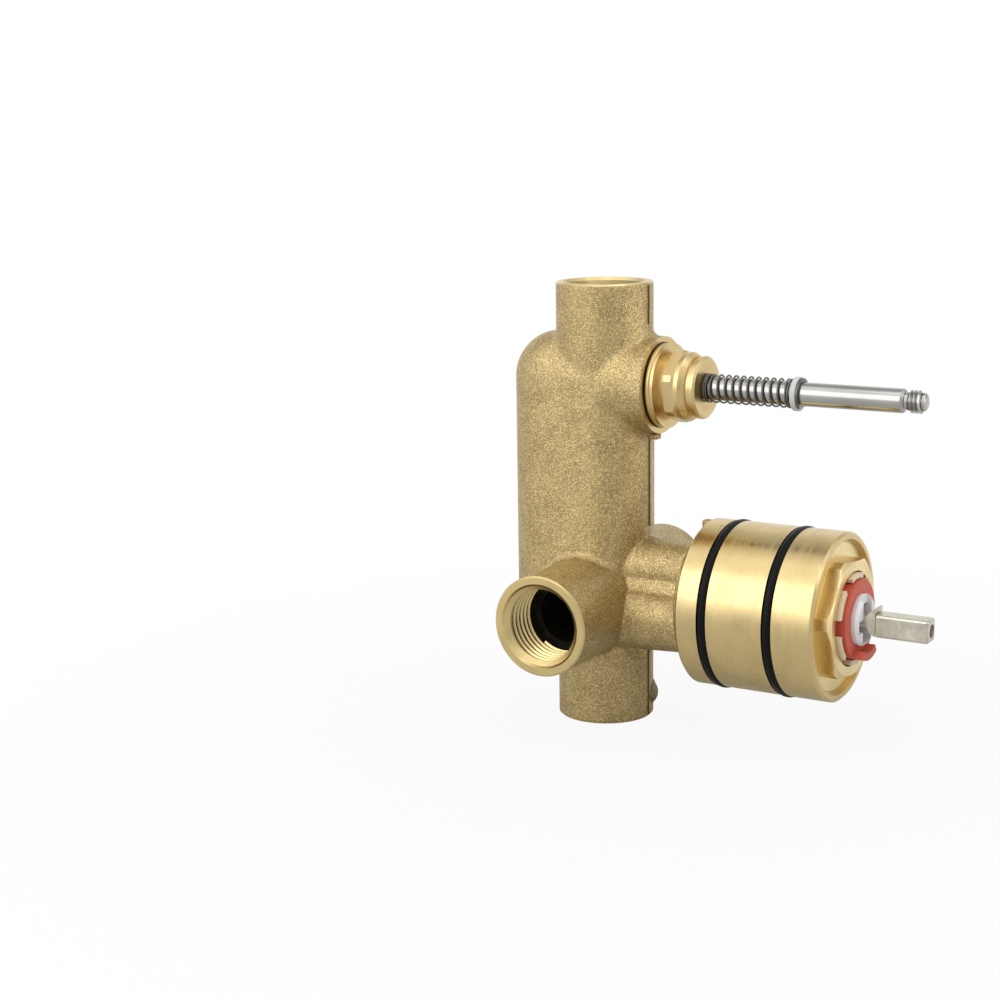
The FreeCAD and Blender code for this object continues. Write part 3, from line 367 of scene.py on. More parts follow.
def math_node(tree, operation, first, second=None):
    """Math node fed by sockets or plain numbers; returns its output."""
    node = tree.nodes.new("ShaderNodeMath")
    node.operation = operation
    for socket, value in zip(node.inputs, (first, second)):
        if isinstance(value, (int, float)):
            socket.default_value = value
        elif value is not None:
            tree.links.new(value, socket)
    return node.outputs[0]


def noise(tree, vector, scale, detail=2.0, roughness=0.5, dimensions="3D"):
    """Noise texture on a vector, or on a single value in one dimension; returns its value."""
    node = tree.nodes.new("ShaderNodeTexNoise")
    node.noise_dimensions = dimensions
    node.inputs["Detail"].default_value = detail
    node.inputs["Roughness"].default_value = roughness
    tree.links.new(vector, node.inputs["W" if dimensions == "1D" else "Vector"])
    if isinstance(scale, (int, float)):
        node.inputs["Scale"].default_value = scale
    else:
        tree.links.new(scale, node.inputs["Scale"])
    return node.outputs["Fac"]


def stretch(tree, value, low, high, to_low=0.0, to_high=1.0):
    """Maps a value from one range to another, clamped."""
    node = tree.nodes.new("ShaderNodeMapRange")
    limits = {"From Min": low, "From Max": high, "To Min": to_low, "To Max": to_high}
    for label, limit in limits.items():
        node.inputs[label].default_value = limit
    tree.links.new(value, node.inputs["Value"])
    return node.outputs["Result"]


def weighted_sum(tree, *terms):
    """Sum of (socket, weight) terms, whose weights are numbers or sockets."""
    shares = [math_node(tree, "MULTIPLY", value, weight) for value, weight in terms]
    total = shares[0]
    for share in shares[1:]:
        total = math_node(tree, "ADD", total, share)
    return total


def parts(tree, kind, socket):
    """Splits a vector (kind XYZ) or a colour (kind Color) into its three values."""
    node = tree.nodes.new("ShaderNodeSeparate" + kind)
    tree.links.new(socket, node.inputs[0])
    return node.outputs


def cell_pattern(tree, vector, scale):
    """Scattered cells; returns the distance from each cell's point and three random values of it."""
    cells = tree.nodes.new("ShaderNodeTexVoronoi")
    tree.links.new(vector, cells.inputs["Vector"])
    tree.links.new(scale, cells.inputs["Scale"])
    return cells.outputs["Distance"], parts(tree, "Color", cells.outputs["Color"])


def casting_grain_group():
    """Sand-cast skin: coarse grain, sparkling facets and slow blotches."""
    tree, given, out = new_group("casting_grain", "Grain", 1500.0, ("Height", "Tint", "Gloss"))
    vector, grain = given["Vector"], given["Grain"]
    fine = noise(tree, vector, grain, roughness=0.6)
    lumps = noise(tree, vector, math_node(tree, "MULTIPLY", grain, 0.22))
    blotch = noise(tree, vector, math_node(tree, "MULTIPLY", grain, 0.035), detail=3.0)
    distance, random = cell_pattern(tree, vector, math_node(tree, "MULTIPLY", grain, 0.75))
    facets = stretch(tree, random[0], 0.6, 1.0)
    pits = stretch(tree, distance, 0.0, 0.75)
    height = weighted_sum(tree, (fine, 0.8), (pits, 0.3), (lumps, 0.6))
    tint = weighted_sum(tree, (fine, 0.9), (blotch, 0.2), (facets, 0.3))
    tree.links.new(height, out["Height"])
    tree.links.new(stretch(tree, tint, 0.45, 0.80), out["Tint"])
    tree.links.new(stretch(tree, fine, 0.3, 0.7), out["Gloss"])
    return tree


def turning_lines_group():
    """Lathe marks round the local Y axis: fine grooves and slower bands of gloss."""
    tree, given, out = new_group("turning_lines", "Lines", 5000.0, ("Height", "Gloss", "Stain"))
    vector, lines = given["Vector"], given["Lines"]
    x, y, z = parts(tree, "XYZ", vector)
    radius = math_node(tree, "SQRT", weighted_sum(tree, (x, x), (z, z)))
    run = math_node(tree, "ADD", y, radius)
    fine = noise(tree, run, lines, dimensions="1D")
    bands = noise(tree, run, math_node(tree, "MULTIPLY", lines, 0.12), dimensions="1D")
    smear = noise(tree, vector, 160.0)
    height = math_node(tree, "MULTIPLY", fine, stretch(tree, smear, 0.3, 0.7, 0.5, 1.0))
    gloss = weighted_sum(tree, (bands, 0.7), (fine, 0.3))
    tree.links.new(height, out["Height"])
    tree.links.new(stretch(tree, gloss, 0.35, 0.65), out["Gloss"])
    tree.links.new(stretch(tree, smear, 0.45, 0.75), out["Stain"])
    return tree


def specks_group():
    """Scattered dark pits."""
    tree, given, out = new_group("handling_specks", "Scale", 260.0, ("Mask",))
    distance, random = cell_pattern(tree, given["Vector"], given["Scale"])
    chosen = math_node(tree, "GREATER_THAN", random[0], 0.82)
    size = stretch(tree, random[1], 0.0, 1.0, 0.03, 0.10)
    near = math_node(tree, "LESS_THAN", distance, size)
    tree.links.new(math_node(tree, "MULTIPLY", chosen, near), out["Mask"])
    return tree


def scuffs_group():
    """Fine scuffs of handled plastic, rubber and plating."""
    tree, given, out = new_group("fine_scuffs", "Scale", 1200.0, ("Height", "Gloss", "Tint"))
    vector, scale = given["Vector"], given["Scale"]
    fine = noise(tree, vector, scale, detail=3.0, roughness=0.6)
    slow = noise(tree, vector, math_node(tree, "MULTIPLY", scale, 0.15), detail=3.0)
    mixed = weighted_sum(tree, (fine, 0.4), (slow, 0.6))
    tree.links.new(fine, out["Height"])
    tree.links.new(stretch(tree, slow, 0.35, 0.65), out["Gloss"])
    tree.links.new(stretch(tree, mixed, 0.35, 0.65), out["Tint"])
    return tree


GROUP_MAKERS = {
    "casting_grain": casting_grain_group,
    "turning_lines": turning_lines_group,
    "handling_specks": specks_group,
    "fine_scuffs": scuffs_group,
}


# Materials

def shaded(name, colour, metallic, roughness):
    """New material with its Principled shader set to plain values."""
    material = bpy.data.materials.new(name)
    material.use_nodes = True
    material.diffuse_color = (*colour, 1.0)
    shader = material.node_tree.nodes["Principled BSDF"]
    shader.inputs["Base Color"].default_value = (*colour, 1.0)
    shader.inputs["Metallic"].default_value = metallic
    shader.inputs["Roughness"].default_value = roughness
    return material, shader


def place_on(tree, centre=(0, 0, 0), turn=(0, 0, 0)):
    """Object coordinates moved to a centre and turned; returns the vector socket."""
    coordinates = tree.nodes.new("ShaderNodeTexCoord")
    mapping = tree.nodes.new("ShaderNodeMapping")
    mapping.vector_type = "TEXTURE"
    mapping.inputs["Location"].default_value = centre
    mapping.inputs["Rotation"].default_value = turn
    tree.links.new(coordinates.outputs["Object"], mapping.inputs["Vector"])
    return mapping.outputs["Vector"]


def effect(tree, name, vector, **values):
    """Places a shared group in a material, with its own values."""
    node = tree.nodes.new("ShaderNodeGroup")
    node.node_tree = bpy.data.node_groups.get(name) or GROUP_MAKERS[name]()
    tree.links.new(vector, node.inputs["Vector"])
    for label, value in values.items():
        node.inputs[label].default_value = value
    return node.outputs


def blend_colours(tree, mask, first, second):
    """Mix of two colours, each a socket or a plain colour, by a mask socket."""
    node = tree.nodes.new("ShaderNodeMix")
    node.data_type = "RGBA"
    tree.links.new(mask, node.inputs["Factor"])
    for label, colour in (("A", first), ("B", second)):
        socket = [s for s in node.inputs if s.name == label and s.type == "RGBA"][0]
        if isinstance(colour, bpy.types.NodeSocket):
            tree.links.new(colour, socket)
        else:
            socket.default_value = (*colour, 1.0)
    return [s for s in node.outputs if s.type == "RGBA"][0]


def bump(tree, shader, height, distance, strength, rounding=0.0):
    """Bump on a shader; rounding softens the creases of the mesh within that distance."""
    node = tree.nodes.new("ShaderNodeBump")
    if rounding:
        soft = tree.nodes.new("ShaderNodeBevel")
        soft.samples = 6
        soft.inputs["Radius"].default_value = rounding
        tree.links.new(soft.outputs["Normal"], node.inputs["Normal"])
    node.inputs["Strength"].default_value = strength
    node.inputs["Distance"].default_value = distance
    tree.links.new(height, node.inputs["Height"])
    tree.links.new(node.outputs["Normal"], shader.inputs["Normal"])


def darker(colour, share):
    """A colour at a share of its level."""
    return tuple(share * value for value in colour)


def finishes():
    """The colours that a user can change."""
    return bpy.context.scene.valve_finishes


def once(name, maker, *values, **named):
    """The named finish, made the first time it is asked for."""
    own_name = "finish_" + name
    return bpy.data.materials.get(own_name) or maker(own_name, *values, **named)


def seam_painted_shadow(tree, vector):
    """Mask of the painted shadow along the parting line, where the two halves of the mould met, near x
    = 0.
    """
    wander = stretch(tree, noise(tree, vector, 220.0), 0.0, 1.0, -0.25 * MM, 0.25 * MM)
    off = math_node(tree, "ABSOLUTE", math_node(tree, "ADD", parts(tree, "XYZ", vector)[0], wander))
    return stretch(tree, off, 0.10 * MM, 0.28 * MM, 0.9, 0.0)


def cast_brass(name, shade=1.0):
    """Sand-cast skin; shade darkens all of it as a painted shade, as on the broken-off gate."""
    light = darker(finishes().cast_light, shade)
    dark = darker(finishes().cast_dark, shade)
    material, shader = shaded(name, light, 0.8, 0.45)
    tree = material.node_tree
    vector = place_on(tree)
    skin = effect(tree, "casting_grain", vector, Grain=4800.0)
    dimples = effect(tree, "handling_specks", vector, Scale=330.0)
    tint = blend_colours(tree, skin["Tint"], dark, light)
    tint = blend_colours(tree, dimples["Mask"], tint, darker(dark, 0.7))
    # The skin is darkened along the parting line as a painted shadow of the seam's step.
    tint = blend_colours(tree, seam_painted_shadow(tree, vector), tint, darker(dark, 0.6))
    tree.links.new(tint, shader.inputs["Base Color"])
    tree.links.new(stretch(tree, skin["Gloss"], 0.0, 1.0, 0.52, 0.30), shader.inputs["Roughness"])
    bump(tree, shader, skin["Height"], distance=0.11 * MM, strength=0.9, rounding=1.3 * MM)
    return material


def turned_metal(
    name, colour, centre, turn=(0, 0, 0), lines=5000.0, depth=0.009 * MM, rough=(0.2, 0.34),
):
    """Lathe-cut brass or steel; turn brings the local Y axis onto the lathe's axis."""
    material, shader = shaded(name, colour, 1.0, 0.27)
    tree = material.node_tree
    vector = place_on(tree, centre, turn)
    marks = effect(tree, "turning_lines", vector, Lines=lines)
    pits = effect(tree, "handling_specks", vector, Scale=230.0)
    worn = blend_colours(tree, marks["Stain"], colour, darker(colour, 0.88))
    speckled = blend_colours(tree, pits["Mask"], worn, darker(colour, 0.35))
    tree.links.new(speckled, shader.inputs["Base Color"])
    tree.links.new(stretch(tree, marks["Gloss"], 0.0, 1.0, *rough), shader.inputs["Roughness"])
    bump(tree, shader, marks["Height"], depth, strength=0.8)
    return material


def deep_bore(name):
    """Water way, painted dark inside the ports as a painted shade."""
    # The near-black colours are painted shade on the casting's inner faces.
    material, shader = shaded(name, (0.022, 0.017, 0.012), 0.6, 0.7)
    tree = material.node_tree
    skin = effect(tree, "casting_grain", place_on(tree), Grain=900.0)
    tint = blend_colours(tree, skin["Tint"], (0.010, 0.008, 0.006), (0.035, 0.027, 0.018))
    tree.links.new(tint, shader.inputs["Base Color"])
    bump(tree, shader, skin["Height"], distance=0.1 * MM, strength=0.5)
    return material


def moulded(name, colour, rough, scale, metallic=0.0, depth=0.01 * MM, contrast=0.9, shine=0.5):
    """Plastic, rubber or plating with fine scuffs."""
    material, shader = shaded(name, colour, metallic, sum(rough) / 2)
    shader.inputs["Specular IOR Level"].default_value = shine
    tree = material.node_tree
    scuffs = effect(tree, "fine_scuffs", place_on(tree), Scale=scale)
    tint = blend_colours(tree, scuffs["Tint"], darker(colour, contrast), colour)
    tree.links.new(tint, shader.inputs["Base Color"])
    tree.links.new(stretch(tree, scuffs["Gloss"], 0.0, 1.0, *rough), shader.inputs["Roughness"])
    bump(tree, shader, scuffs["Height"], depth, strength=0.6)
    return material


def black_rubber():
    return once(
        "black_rubber", moulded, finishes().rubber, (0.36, 0.5), 900.0,
        depth=0.02 * MM, contrast=0.6, shine=0.14,
    )


def cream_plastic():
    return once("cream_plastic", moulded, finishes().cream, (0.3, 0.42), 700.0)


def white_plastic():
    return once("white_plastic", moulded, finishes().white, (0.32, 0.45), 700.0)


def red_plastic():
    return once("red_plastic", moulded, finishes().red, (0.36, 0.5), 800.0, shine=0.25)


def grey_plastic():
    return once("grey_plastic", moulded, finishes().grey, (0.35, 0.5), 800.0)


def lapped_ceramic():
    return once("lapped_ceramic", moulded, finishes().ceramic, (0.12, 0.2), 2000.0)


def dull_nickel():
    return once(
        "dull_nickel", moulded, finishes().nickel, (0.22, 0.5), 900.0,
        metallic=1.0, depth=0.05 * MM, contrast=0.62,
    )


def spring_steel():
    return once(
        "spring_steel", moulded, finishes().spring_steel, (0.28, 0.42), 2500.0,
        metallic=1.0, contrast=0.7,
    )


def ground_steel():
    return once(
        "ground_steel", turned_metal, finishes().steel, (0, 0, STEM_AXIS),
        lines=7000.0, depth=0.003 * MM, rough=(0.15, 0.24),
    )


def thread_root_steel():
    """Steel at the root of the rod's thread, darkened as a painted shade."""
    # Steel at 0.3 stands for the painted shade in the thread's valleys.
    colour = darker(finishes().steel, 0.3)
    return once("thread_root_steel", turned_metal, colour, (0, 0, STEM_AXIS), lines=7000.0)


def bar_brass(name, colour, axis_height):
    """Brass of the bonnet, nut and piston, turned about a forward axis at that height."""
    return once(
        name, turned_metal, colour, (0, 0, axis_height),
        lines=4200.0, depth=0.010 * MM, rough=(0.24, 0.38),
    )


def bonnet_brass():
    return bar_brass("bonnet_brass", finishes().warm_turned, STEM_AXIS)


def outlet_thread_brass():
    """Brass of the outlets' threads, darkened inside the tube as a painted shade."""
    # The port brass at 0.6 is a painted shade of the outlets' interior.
    colour = darker(finishes().port_turned, 0.6)
    return once("outlet_thread_brass", turned_metal, colour, (0, 0, 0), UPRIGHT)


# Mesh helpers

def node_mesh(node):
    """Welded copy of a packed node."""
    bm = bmesh.new()
    bm.from_mesh(NODES[node].data)
    bmesh.ops.remove_doubles(bm, verts=bm.verts, dist=WELD)
    return bm


def round_edges(bm, width, crease=CREASE, beyond=ANY_REACH):
    """Breaks a welded mesh's edges that are sharper than the crease angle and lie beyond a reach."""
    bmesh.ops.dissolve_limit(bm, angle_limit=COPLANAR, verts=bm.verts, edges=bm.edges)
    sharp = [
        e for e in bm.edges
        if len(e.link_faces) == 2 and e.calc_face_angle() > crease
        and all(-v.co.y > beyond for v in e.verts)
    ]
    bmesh.ops.bevel(
        bm, geom=sharp, affect="EDGES", offset=width, segments=EDGE_SEGMENTS, profile=0.5,
        material=-1, clamp_overlap=True, loop_slide=True,
    )
    bmesh.ops.dissolve_degenerate(bm, dist=WELD, edges=bm.edges)


def add_object(name, data):
    """New object in the scene, for a mesh, a lamp or a camera."""
    added = bpy.data.objects.new(name, data)
    bpy.context.scene.collection.objects.link(added)
    return added


def as_piece(bm, name, materials, body, stands_for=(), even=False):
    """Makes the piece, shades it smooth up to sharp edges and seats it on its body."""
    for face in bm.faces:
        face.smooth = True
    for edge in bm.edges:
        edge.smooth = len(edge.link_faces) == 2 and edge.calc_face_angle() < SHARP
    mesh = bpy.data.meshes.new(name)
    bm.to_mesh(mesh)
    bm.free()
    for material in materials:
        mesh.materials.append(material)
    piece = add_object(name, mesh)
    if even:
        shading = piece.modifiers.new("even_shading", "WEIGHTED_NORMAL")
        shading.keep_sharp = True
    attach(piece, body)
    if stands_for:
        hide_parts(*stands_for)
    return piece


def soft_copy(node, material, width, crease=CREASE, beyond=ANY_REACH):
    """Copy of a node with the edges beyond a reach broken, which stands for it."""
    bm = node_mesh(node)
    if width:
        round_edges(bm, width, crease, beyond)
    return as_piece(
        bm, node + "_finished", [material], BODY_OF[node], [node], even=bool(width)
    )


def dress(node, material):
    """Gives a hidden packed node its material."""
    slots = NODES[node].data.materials
    slots.clear()
    slots.append(material)


def join_into(bm, other):
    """Adds another bmesh to this one."""
    carrier = bpy.data.meshes.new("joined")
    other.to_mesh(carrier)
    other.free()
    bm.from_mesh(carrier)
    bpy.data.meshes.remove(carrier)


def ridge_outline(bm, axis, root, crest, stations):
    """Closed outline of a thread's ridge, from root to crest and back at stations along an axis."""
    verts = [
        bm.verts.new(Vector((radius, 0, 0)) + Vector(axis) * station)
        for radius, station in zip((root, crest, crest, root), stations)
    ]
    return verts + [bm.edges.new((verts[i - 1], verts[i])) for i in range(len(verts))]


def helix(bm, loop, axis, pitch, turns, steps):
    """Sweeps a closed loop along a helix about an axis through the origin; returns its last ring."""
    count = max(1, round(turns * steps))
    swept = bmesh.ops.spin(
        bm, geom=loop, axis=axis, dvec=Vector(axis) * (pitch * turns / count),
        angle=2 * math.pi * turns, steps=count,
    )
    return swept["geom_last"]


def close_ends(bm):
    """Caps open ends and turns all faces outwards."""
    bmesh.ops.holes_fill(bm, edges=[e for e in bm.edges if len(e.link_faces) == 1], sides=0)
    bmesh.ops.recalc_face_normals(bm, faces=bm.faces)


def full_turn(bm, outline, centre, axis, steps):
    """Turns an outline once round an axis."""
    bmesh.ops.spin(
        bm, geom=outline, cent=centre, axis=axis, angle=2 * math.pi, steps=steps, use_merge=True,
    )
    bmesh.ops.remove_doubles(bm, verts=bm.verts, dist=WELD)


def lathe(bm, profile, height, steps):
    """Turns a (reach, radius) profile, which starts and ends on the forward axis, at that height."""
    verts = [bm.verts.new((0, -reach, height + radius)) for reach, radius in profile]
    edges = [bm.edges.new(pair) for pair in zip(verts, verts[1:])]
    full_turn(bm, verts + edges, (0, 0, height), (0, -1, 0), steps)
    bmesh.ops.recalc_face_normals(bm, faces=bm.faces)


def block(bm, low, high):
    """Box between two corners."""
    low = Vector(low)
    high = Vector(high)
    verts = bmesh.ops.create_cube(bm, size=1.0)["verts"]
    bmesh.ops.scale(bm, vec=high - low, verts=verts)
    bmesh.ops.translate(bm, vec=(low + high) / 2, verts=verts)


# Casting

# Material slots of the casting
CAST, CUP, INLETS, OUTLETS, BOSS, WATER_WAY = range(6)


def casting_materials():
    """Materials of the casting, in the order of its slots."""
    turned, port_turned = finishes().turned, finishes().port_turned
    return [
        once("cast_brass", cast_brass),
        once("turned_cup", turned_metal, turned, (0, 0, CUP_AXIS)),
        once("turned_inlets", turned_metal, port_turned, (0, 0, INLET_AXIS), ACROSS),
        once("turned_outlets", turned_metal, port_turned, (0, 0, 0), UPRIGHT),
        once("turned_boss", turned_metal, turned, (0, 0, STEM_AXIS)),
        # The casting's inner faces take the painted shade of the water way.
        once("deep_bore", deep_bore),
    ]


def machined_finish(point):
    """Slot of the machined material at a point of the casting, or CAST where there is none."""
    inlet_depth = INLET_END - abs(point.x)
    inlet_radius = math.hypot(point.y, point.z - INLET_AXIS)
    outlet_depth = min(TUBE_TOP - point.z, point.z)
    tube_radius = math.hypot(point.x, point.y)
    if -point.y > CUP_SHOULDER:
        return CUP
    if inlet_depth < FACED_EDGE or (inlet_depth < BORE_END and inlet_radius < PORT_WALL):
        return INLETS
    if outlet_depth < FACED_EDGE or (outlet_depth < BORE_END and tube_radius < PORT_WALL):
        return OUTLETS
    if -point.y > BOSS_FACE and point.z > STEM_AXIS - BOSS_RADIUS:
        return BOSS
    return CAST


def mark_finishes(bm):
    """Gives each face of the casting its slot; cast faces off the outer skin are water way."""
    for face in bm.faces:
        face.material_index = machined_finish(face.calc_center_median())
    rearmost = max(bm.faces, key=lambda f: f.calc_center_median().y)
    skin = {rearmost}
    queue = [rearmost]
    while queue:
        face = queue.pop()
        for edge in face.edges:
            for other in edge.link_faces:
                if other not in skin and other.material_index == CAST:
                    skin.add(other)
                    queue.append(other)
    for face in bm.faces:
        if face.material_index == CAST and face not in skin:
            face.material_index = WATER_WAY


def build_casting():
    """Body with its cast, machined and inner faces."""
    bm = node_mesh("valve_body")
    mark_finishes(bm)
    as_piece(bm, "valve_casting", casting_materials(), "valve", ["valve_body"])


def seam_ridge(bm, reach, low, high, sizes):
    """Upright step of the parting line at x = 0, where one mould half stands proud at that reach."""
    side = 1 if reach > 0 else -1
    radius = abs(reach)
    sunk = radius - SEAM_ROOT
    proud = radius + sizes.seam_height
    spread = sizes.seam_width / radius
    # Each point is a share of the width and a distance from the tube's axis
    outline = (
        (0.0, sunk),
        (0.0, proud),
        (SEAM_SHOULDER, proud - SEAM_FALL),
        (1.0, radius - SEAM_FEATHER),
        (1.0, sunk),
    )
    loop = []
    for share, distance in outline:
        angle = share * spread
        loop.append(bm.verts.new((distance * math.sin(angle), -side * distance * math.cos(angle), low)))
    face = bm.faces.new(loop)
    grown = bmesh.ops.extrude_face_region(bm, geom=[face])
    verts = [v for v in grown["geom"] if isinstance(v, bmesh.types.BMVert)]
    bmesh.ops.translate(bm, vec=(0, 0, high - low), verts=verts)


def build_seam():
    """Parting line; its rear stretch is let in, so that it stays within the body's depth."""
    sizes = bpy.context.scene.valve_casting
    bm = bmesh.new()
    for reach, low, high in (*SEAM_STRETCHES, (sizes.seam_height - BODY_HIGH.y, *REAR_SEAM)):
        seam_ridge(bm, reach, low, high, sizes)
    bmesh.ops.recalc_face_normals(bm, faces=bm.faces)
    as_piece(bm, "parting_seam", [once("cast_brass", cast_brass)], "valve")


def build_gate():
    """Rough lump of the broken-off gate, beside the parting line on the lower tube."""
    sizes = bpy.context.scene.valve_casting
    bm = bmesh.new()
    verts = bmesh.ops.create_icosphere(bm, subdivisions=4, radius=1.0)["verts"]
    bmesh.ops.scale(bm, vec=(sizes.gate_width / 2, GATE_DEPTH, sizes.gate_radius), verts=verts)
    reach = TUBE_RADIUS + sizes.gate_height - GATE_DEPTH
    bmesh.ops.translate(bm, vec=(0, -reach, GATE_PLACE), verts=verts)
    for vert in bm.verts:
        vert.co += vert.normal * (GATE_ROUGHNESS * turbulence.noise(vert.co * GATE_LUMPS_PER_METRE))
    bmesh.ops.rotate(bm, matrix=Matrix.Rotation(GATE_TURN, 3, "Z"), verts=verts)
    # The gate's skin is darkened to 0.45 of the casting as a painted shade of the lump.
    as_piece(bm, "gate_stub", [once("gate_skin", cast_brass, shade=0.45)], "valve")


def build_flash():
    """Flash under the diverter boss and on top of the neck behind the cup."""
    half = bpy.context.scene.valve_casting.flash_width / 2
    for name, ((back, front), (low, high), rounding) in FLASH.items():
        bm = bmesh.new()
        block(bm, (-half, -front, low), (half, -back, high))
        round_edges(bm, rounding)
        as_piece(bm, name, [once("cast_brass", cast_brass)], "valve", even=True)


# Port threads

def build_port_threads():
    """Pipe thread of the four ports, as ridges that start behind a lead-in cone."""
    sizes = bpy.context.scene.valve_threads
    axis = (0, 0, 1)
    root = THREAD_RADIUS + THREAD_SINK
    crest = THREAD_RADIUS - sizes.depth
    crest_half = CREST_SHARE * sizes.pitch
    root_half = ROOT_SHARE * sizes.pitch
    behind = (THREAD_START - crest_half, THREAD_START + crest_half, THREAD_START + root_half)
    inlet_brass = casting_materials()[INLETS]
    for name in ("hot_inlet", "cold_inlet", "shower_outlet", "spout_outlet"):
        outward = Vector(MOUNTS[name]["axis"])
        if abs(outward.x) > 0.5:
            metal = inlet_brass
            mouth = Vector((outward.x * INLET_END, 0, INLET_AXIS))
        else:
            # The outlets' threads carry a painted shade of the tube's inside.
            metal = outlet_thread_brass()
            mouth = Vector((0, 0, TUBE_TOP if outward.z > 0 else 0))
        bm = bmesh.new()
        front = THREAD_START - LEAD_IN_LENGTH
        cone = ridge_outline(bm, axis, root, crest + LEAD_IN_STEP, (front, *behind))
        full_turn(bm, cone, (0, 0, 0), axis, 2 * sizes.steps)
        ridge = ridge_outline(bm, axis, root, crest, (THREAD_START - root_half, *behind))
        helix(bm, ridge, axis, sizes.pitch, sizes.turns, sizes.steps)
        close_ends(bm)
        turn = Vector((0, 0, 1)).rotation_difference(-outward).to_matrix()
        bmesh.ops.rotate(bm, matrix=turn, verts=bm.verts)
        bmesh.ops.translate(bm, vec=mouth, verts=bm.verts)
        as_piece(bm, name + "_thread", [metal], "valve")


# Cartridge

def build_cartridge():
    """Visible pieces in and on the cup; each width breaks that piece's edges."""
    nut_brass = bar_brass("nut_brass", finishes().nut_turned, CUP_AXIS)
    soft_copy("cartridge_nut", nut_brass, 0.2 * MM, FLAT_CREASE)
    soft_copy("cartridge_housing", cream_plastic(), 0.12 * MM)
    soft_copy("limit_ring", red_plastic(), 0.3 * MM)
    soft_copy("rotor", white_plastic(), 0.2 * MM, beyond=CARTRIDGE_NOSE)
    soft_copy("lever", dull_nickel(), 0.25 * MM, beyond=CARTRIDGE_NOSE)
    for node in ("rear_cup_o_ring", "front_cup_o_ring"):
        soft_copy(node, black_rubber(), 0.0)


# Diverter

def tip_core(front, back, core):
    """Core of the rod's threaded tip, in the second material, a painted shade, where the thread covers
    it.
    """
    nose = [(front - behind, core - inside) for behind, inside in TIP_NOSE]
    rear = back - TIP_OVERLAP
    bm = bmesh.new()
    lathe(bm, [(rear, 0), (rear, core), *nose, (front, 0)], STEM_AXIS, steps=40)
    for face in bm.faces:
        # Faces behind the nose take the painted shade of the thread's root.
        face.material_index = int(-face.calc_center_median().y < nose[0][0])
    return bm


def tip_thread(back, core, crest, sizes):
    """Ridge of the thread on the rod's tip."""
    axis = (0, -1, 0)
    start = back + TIP_THREAD_START
    half = ROOT_SHARE * sizes.tip_pitch
    stations = (start - half, start - TIP_CREST_HALF, start + TIP_CREST_HALF, start + half)
    bm = bmesh.new()
    ridge = ridge_outline(bm, axis, core - TIP_SINK, crest, stations)
    helix(bm, ridge, axis, sizes.tip_pitch, sizes.tip_turns, sizes.steps)
    close_ends(bm)
    bmesh.ops.translate(bm, vec=(0, 0, STEM_AXIS), verts=bm.verts)
    return bm


def build_rod():
    """Ground rod with a cut thread on its tip."""
    sizes = bpy.context.scene.valve_threads
    tip_radius = MOUNTS["stem_tip"]["dims"]["r_mm"] * MM
    front = -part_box("stem")[0].y
    back = front - sizes.tip_length
    core = tip_radius - sizes.tip_depth
    bm = node_mesh("stem")
    bmesh.ops.bisect_plane(
        bm, geom=[*bm.verts, *bm.edges, *bm.faces],
        plane_co=(0, -back + TIP_CUT, 0), plane_no=(0, -1, 0), clear_outer=True,
    )
    close_ends(bm)
    round_edges(bm, 0.12 * MM)
    join_into(bm, tip_core(front, back, core))
    join_into(bm, tip_thread(back, core, tip_radius, sizes))
    metals = [ground_steel(), thread_root_steel()]
    as_piece(bm, "diverter_rod", metals, "diverter", ["stem"], even=True)


def build_spring():
    """Round-wire spring with closed turns at both ends, in place of the packed return spring."""
    sizes = bpy.context.scene.valve_spring
    low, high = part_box("return_spring")
    length = high.y - low.y
    radius = (high.x - low.x) / 2 - sizes.wire / 2
    closed_pitch = sizes.wire * CLOSED_PITCH
    open_length = length - sizes.wire - 2 * closed_pitch * sizes.closed_turns
    axis = (0, -1, 0)
    bm = bmesh.new()
    circle = bmesh.ops.create_circle(bm, segments=10, radius=sizes.wire / 2)
    bmesh.ops.translate(bm, vec=(radius, 0, 0), verts=circle["verts"])
    ring = [*bm.verts, *bm.edges]
    ring = helix(bm, ring, axis, closed_pitch, sizes.closed_turns, sizes.steps)
    ring = helix(bm, ring, axis, open_length / sizes.open_turns, sizes.open_turns, sizes.steps)
    helix(bm, ring, axis, closed_pitch, sizes.closed_turns, sizes.steps)
    close_ends(bm)
    bmesh.ops.translate(bm, vec=(0, high.y - sizes.wire / 2, STEM_AXIS), verts=bm.verts)
    spring = as_piece(bm, "coil_spring", [spring_steel()], "valve", ["return_spring"])
    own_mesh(spring)


def build_diverter():
    """Visible pieces in front of the boss."""
    soft_copy("bonnet", bonnet_brass(), 0.12 * MM, FLAT_CREASE)
    soft_copy("bonnet_gasket", black_rubber(), 0.0)
    soft_copy("spring_washer", grey_plastic(), 0.18 * MM)
    soft_copy("stem_clip", spring_steel(), 0.08 * MM)
    build_rod()
    build_spring()


def dress_inner_pieces():
    """Materials of what is hidden inside."""
    hidden = {
        cream_plastic: ("cartridge_base",),
        lapped_ceramic: ("fixed_disc", "moving_disc"),
        white_plastic: ("disc_carrier",),
        ground_steel: ("lever_pin",),
        bonnet_brass: ("piston", "piston_nut"),
        black_rubber: (
            "hot_port_seal", "cold_port_seal", "mixed_port_seal", "inner_stem_seal",
            "outer_stem_seal", "shower_seal", "spout_seal",
        ),
    }
    for finish, nodes in hidden.items():
        for node in nodes:
            dress(node, finish())


# Stage

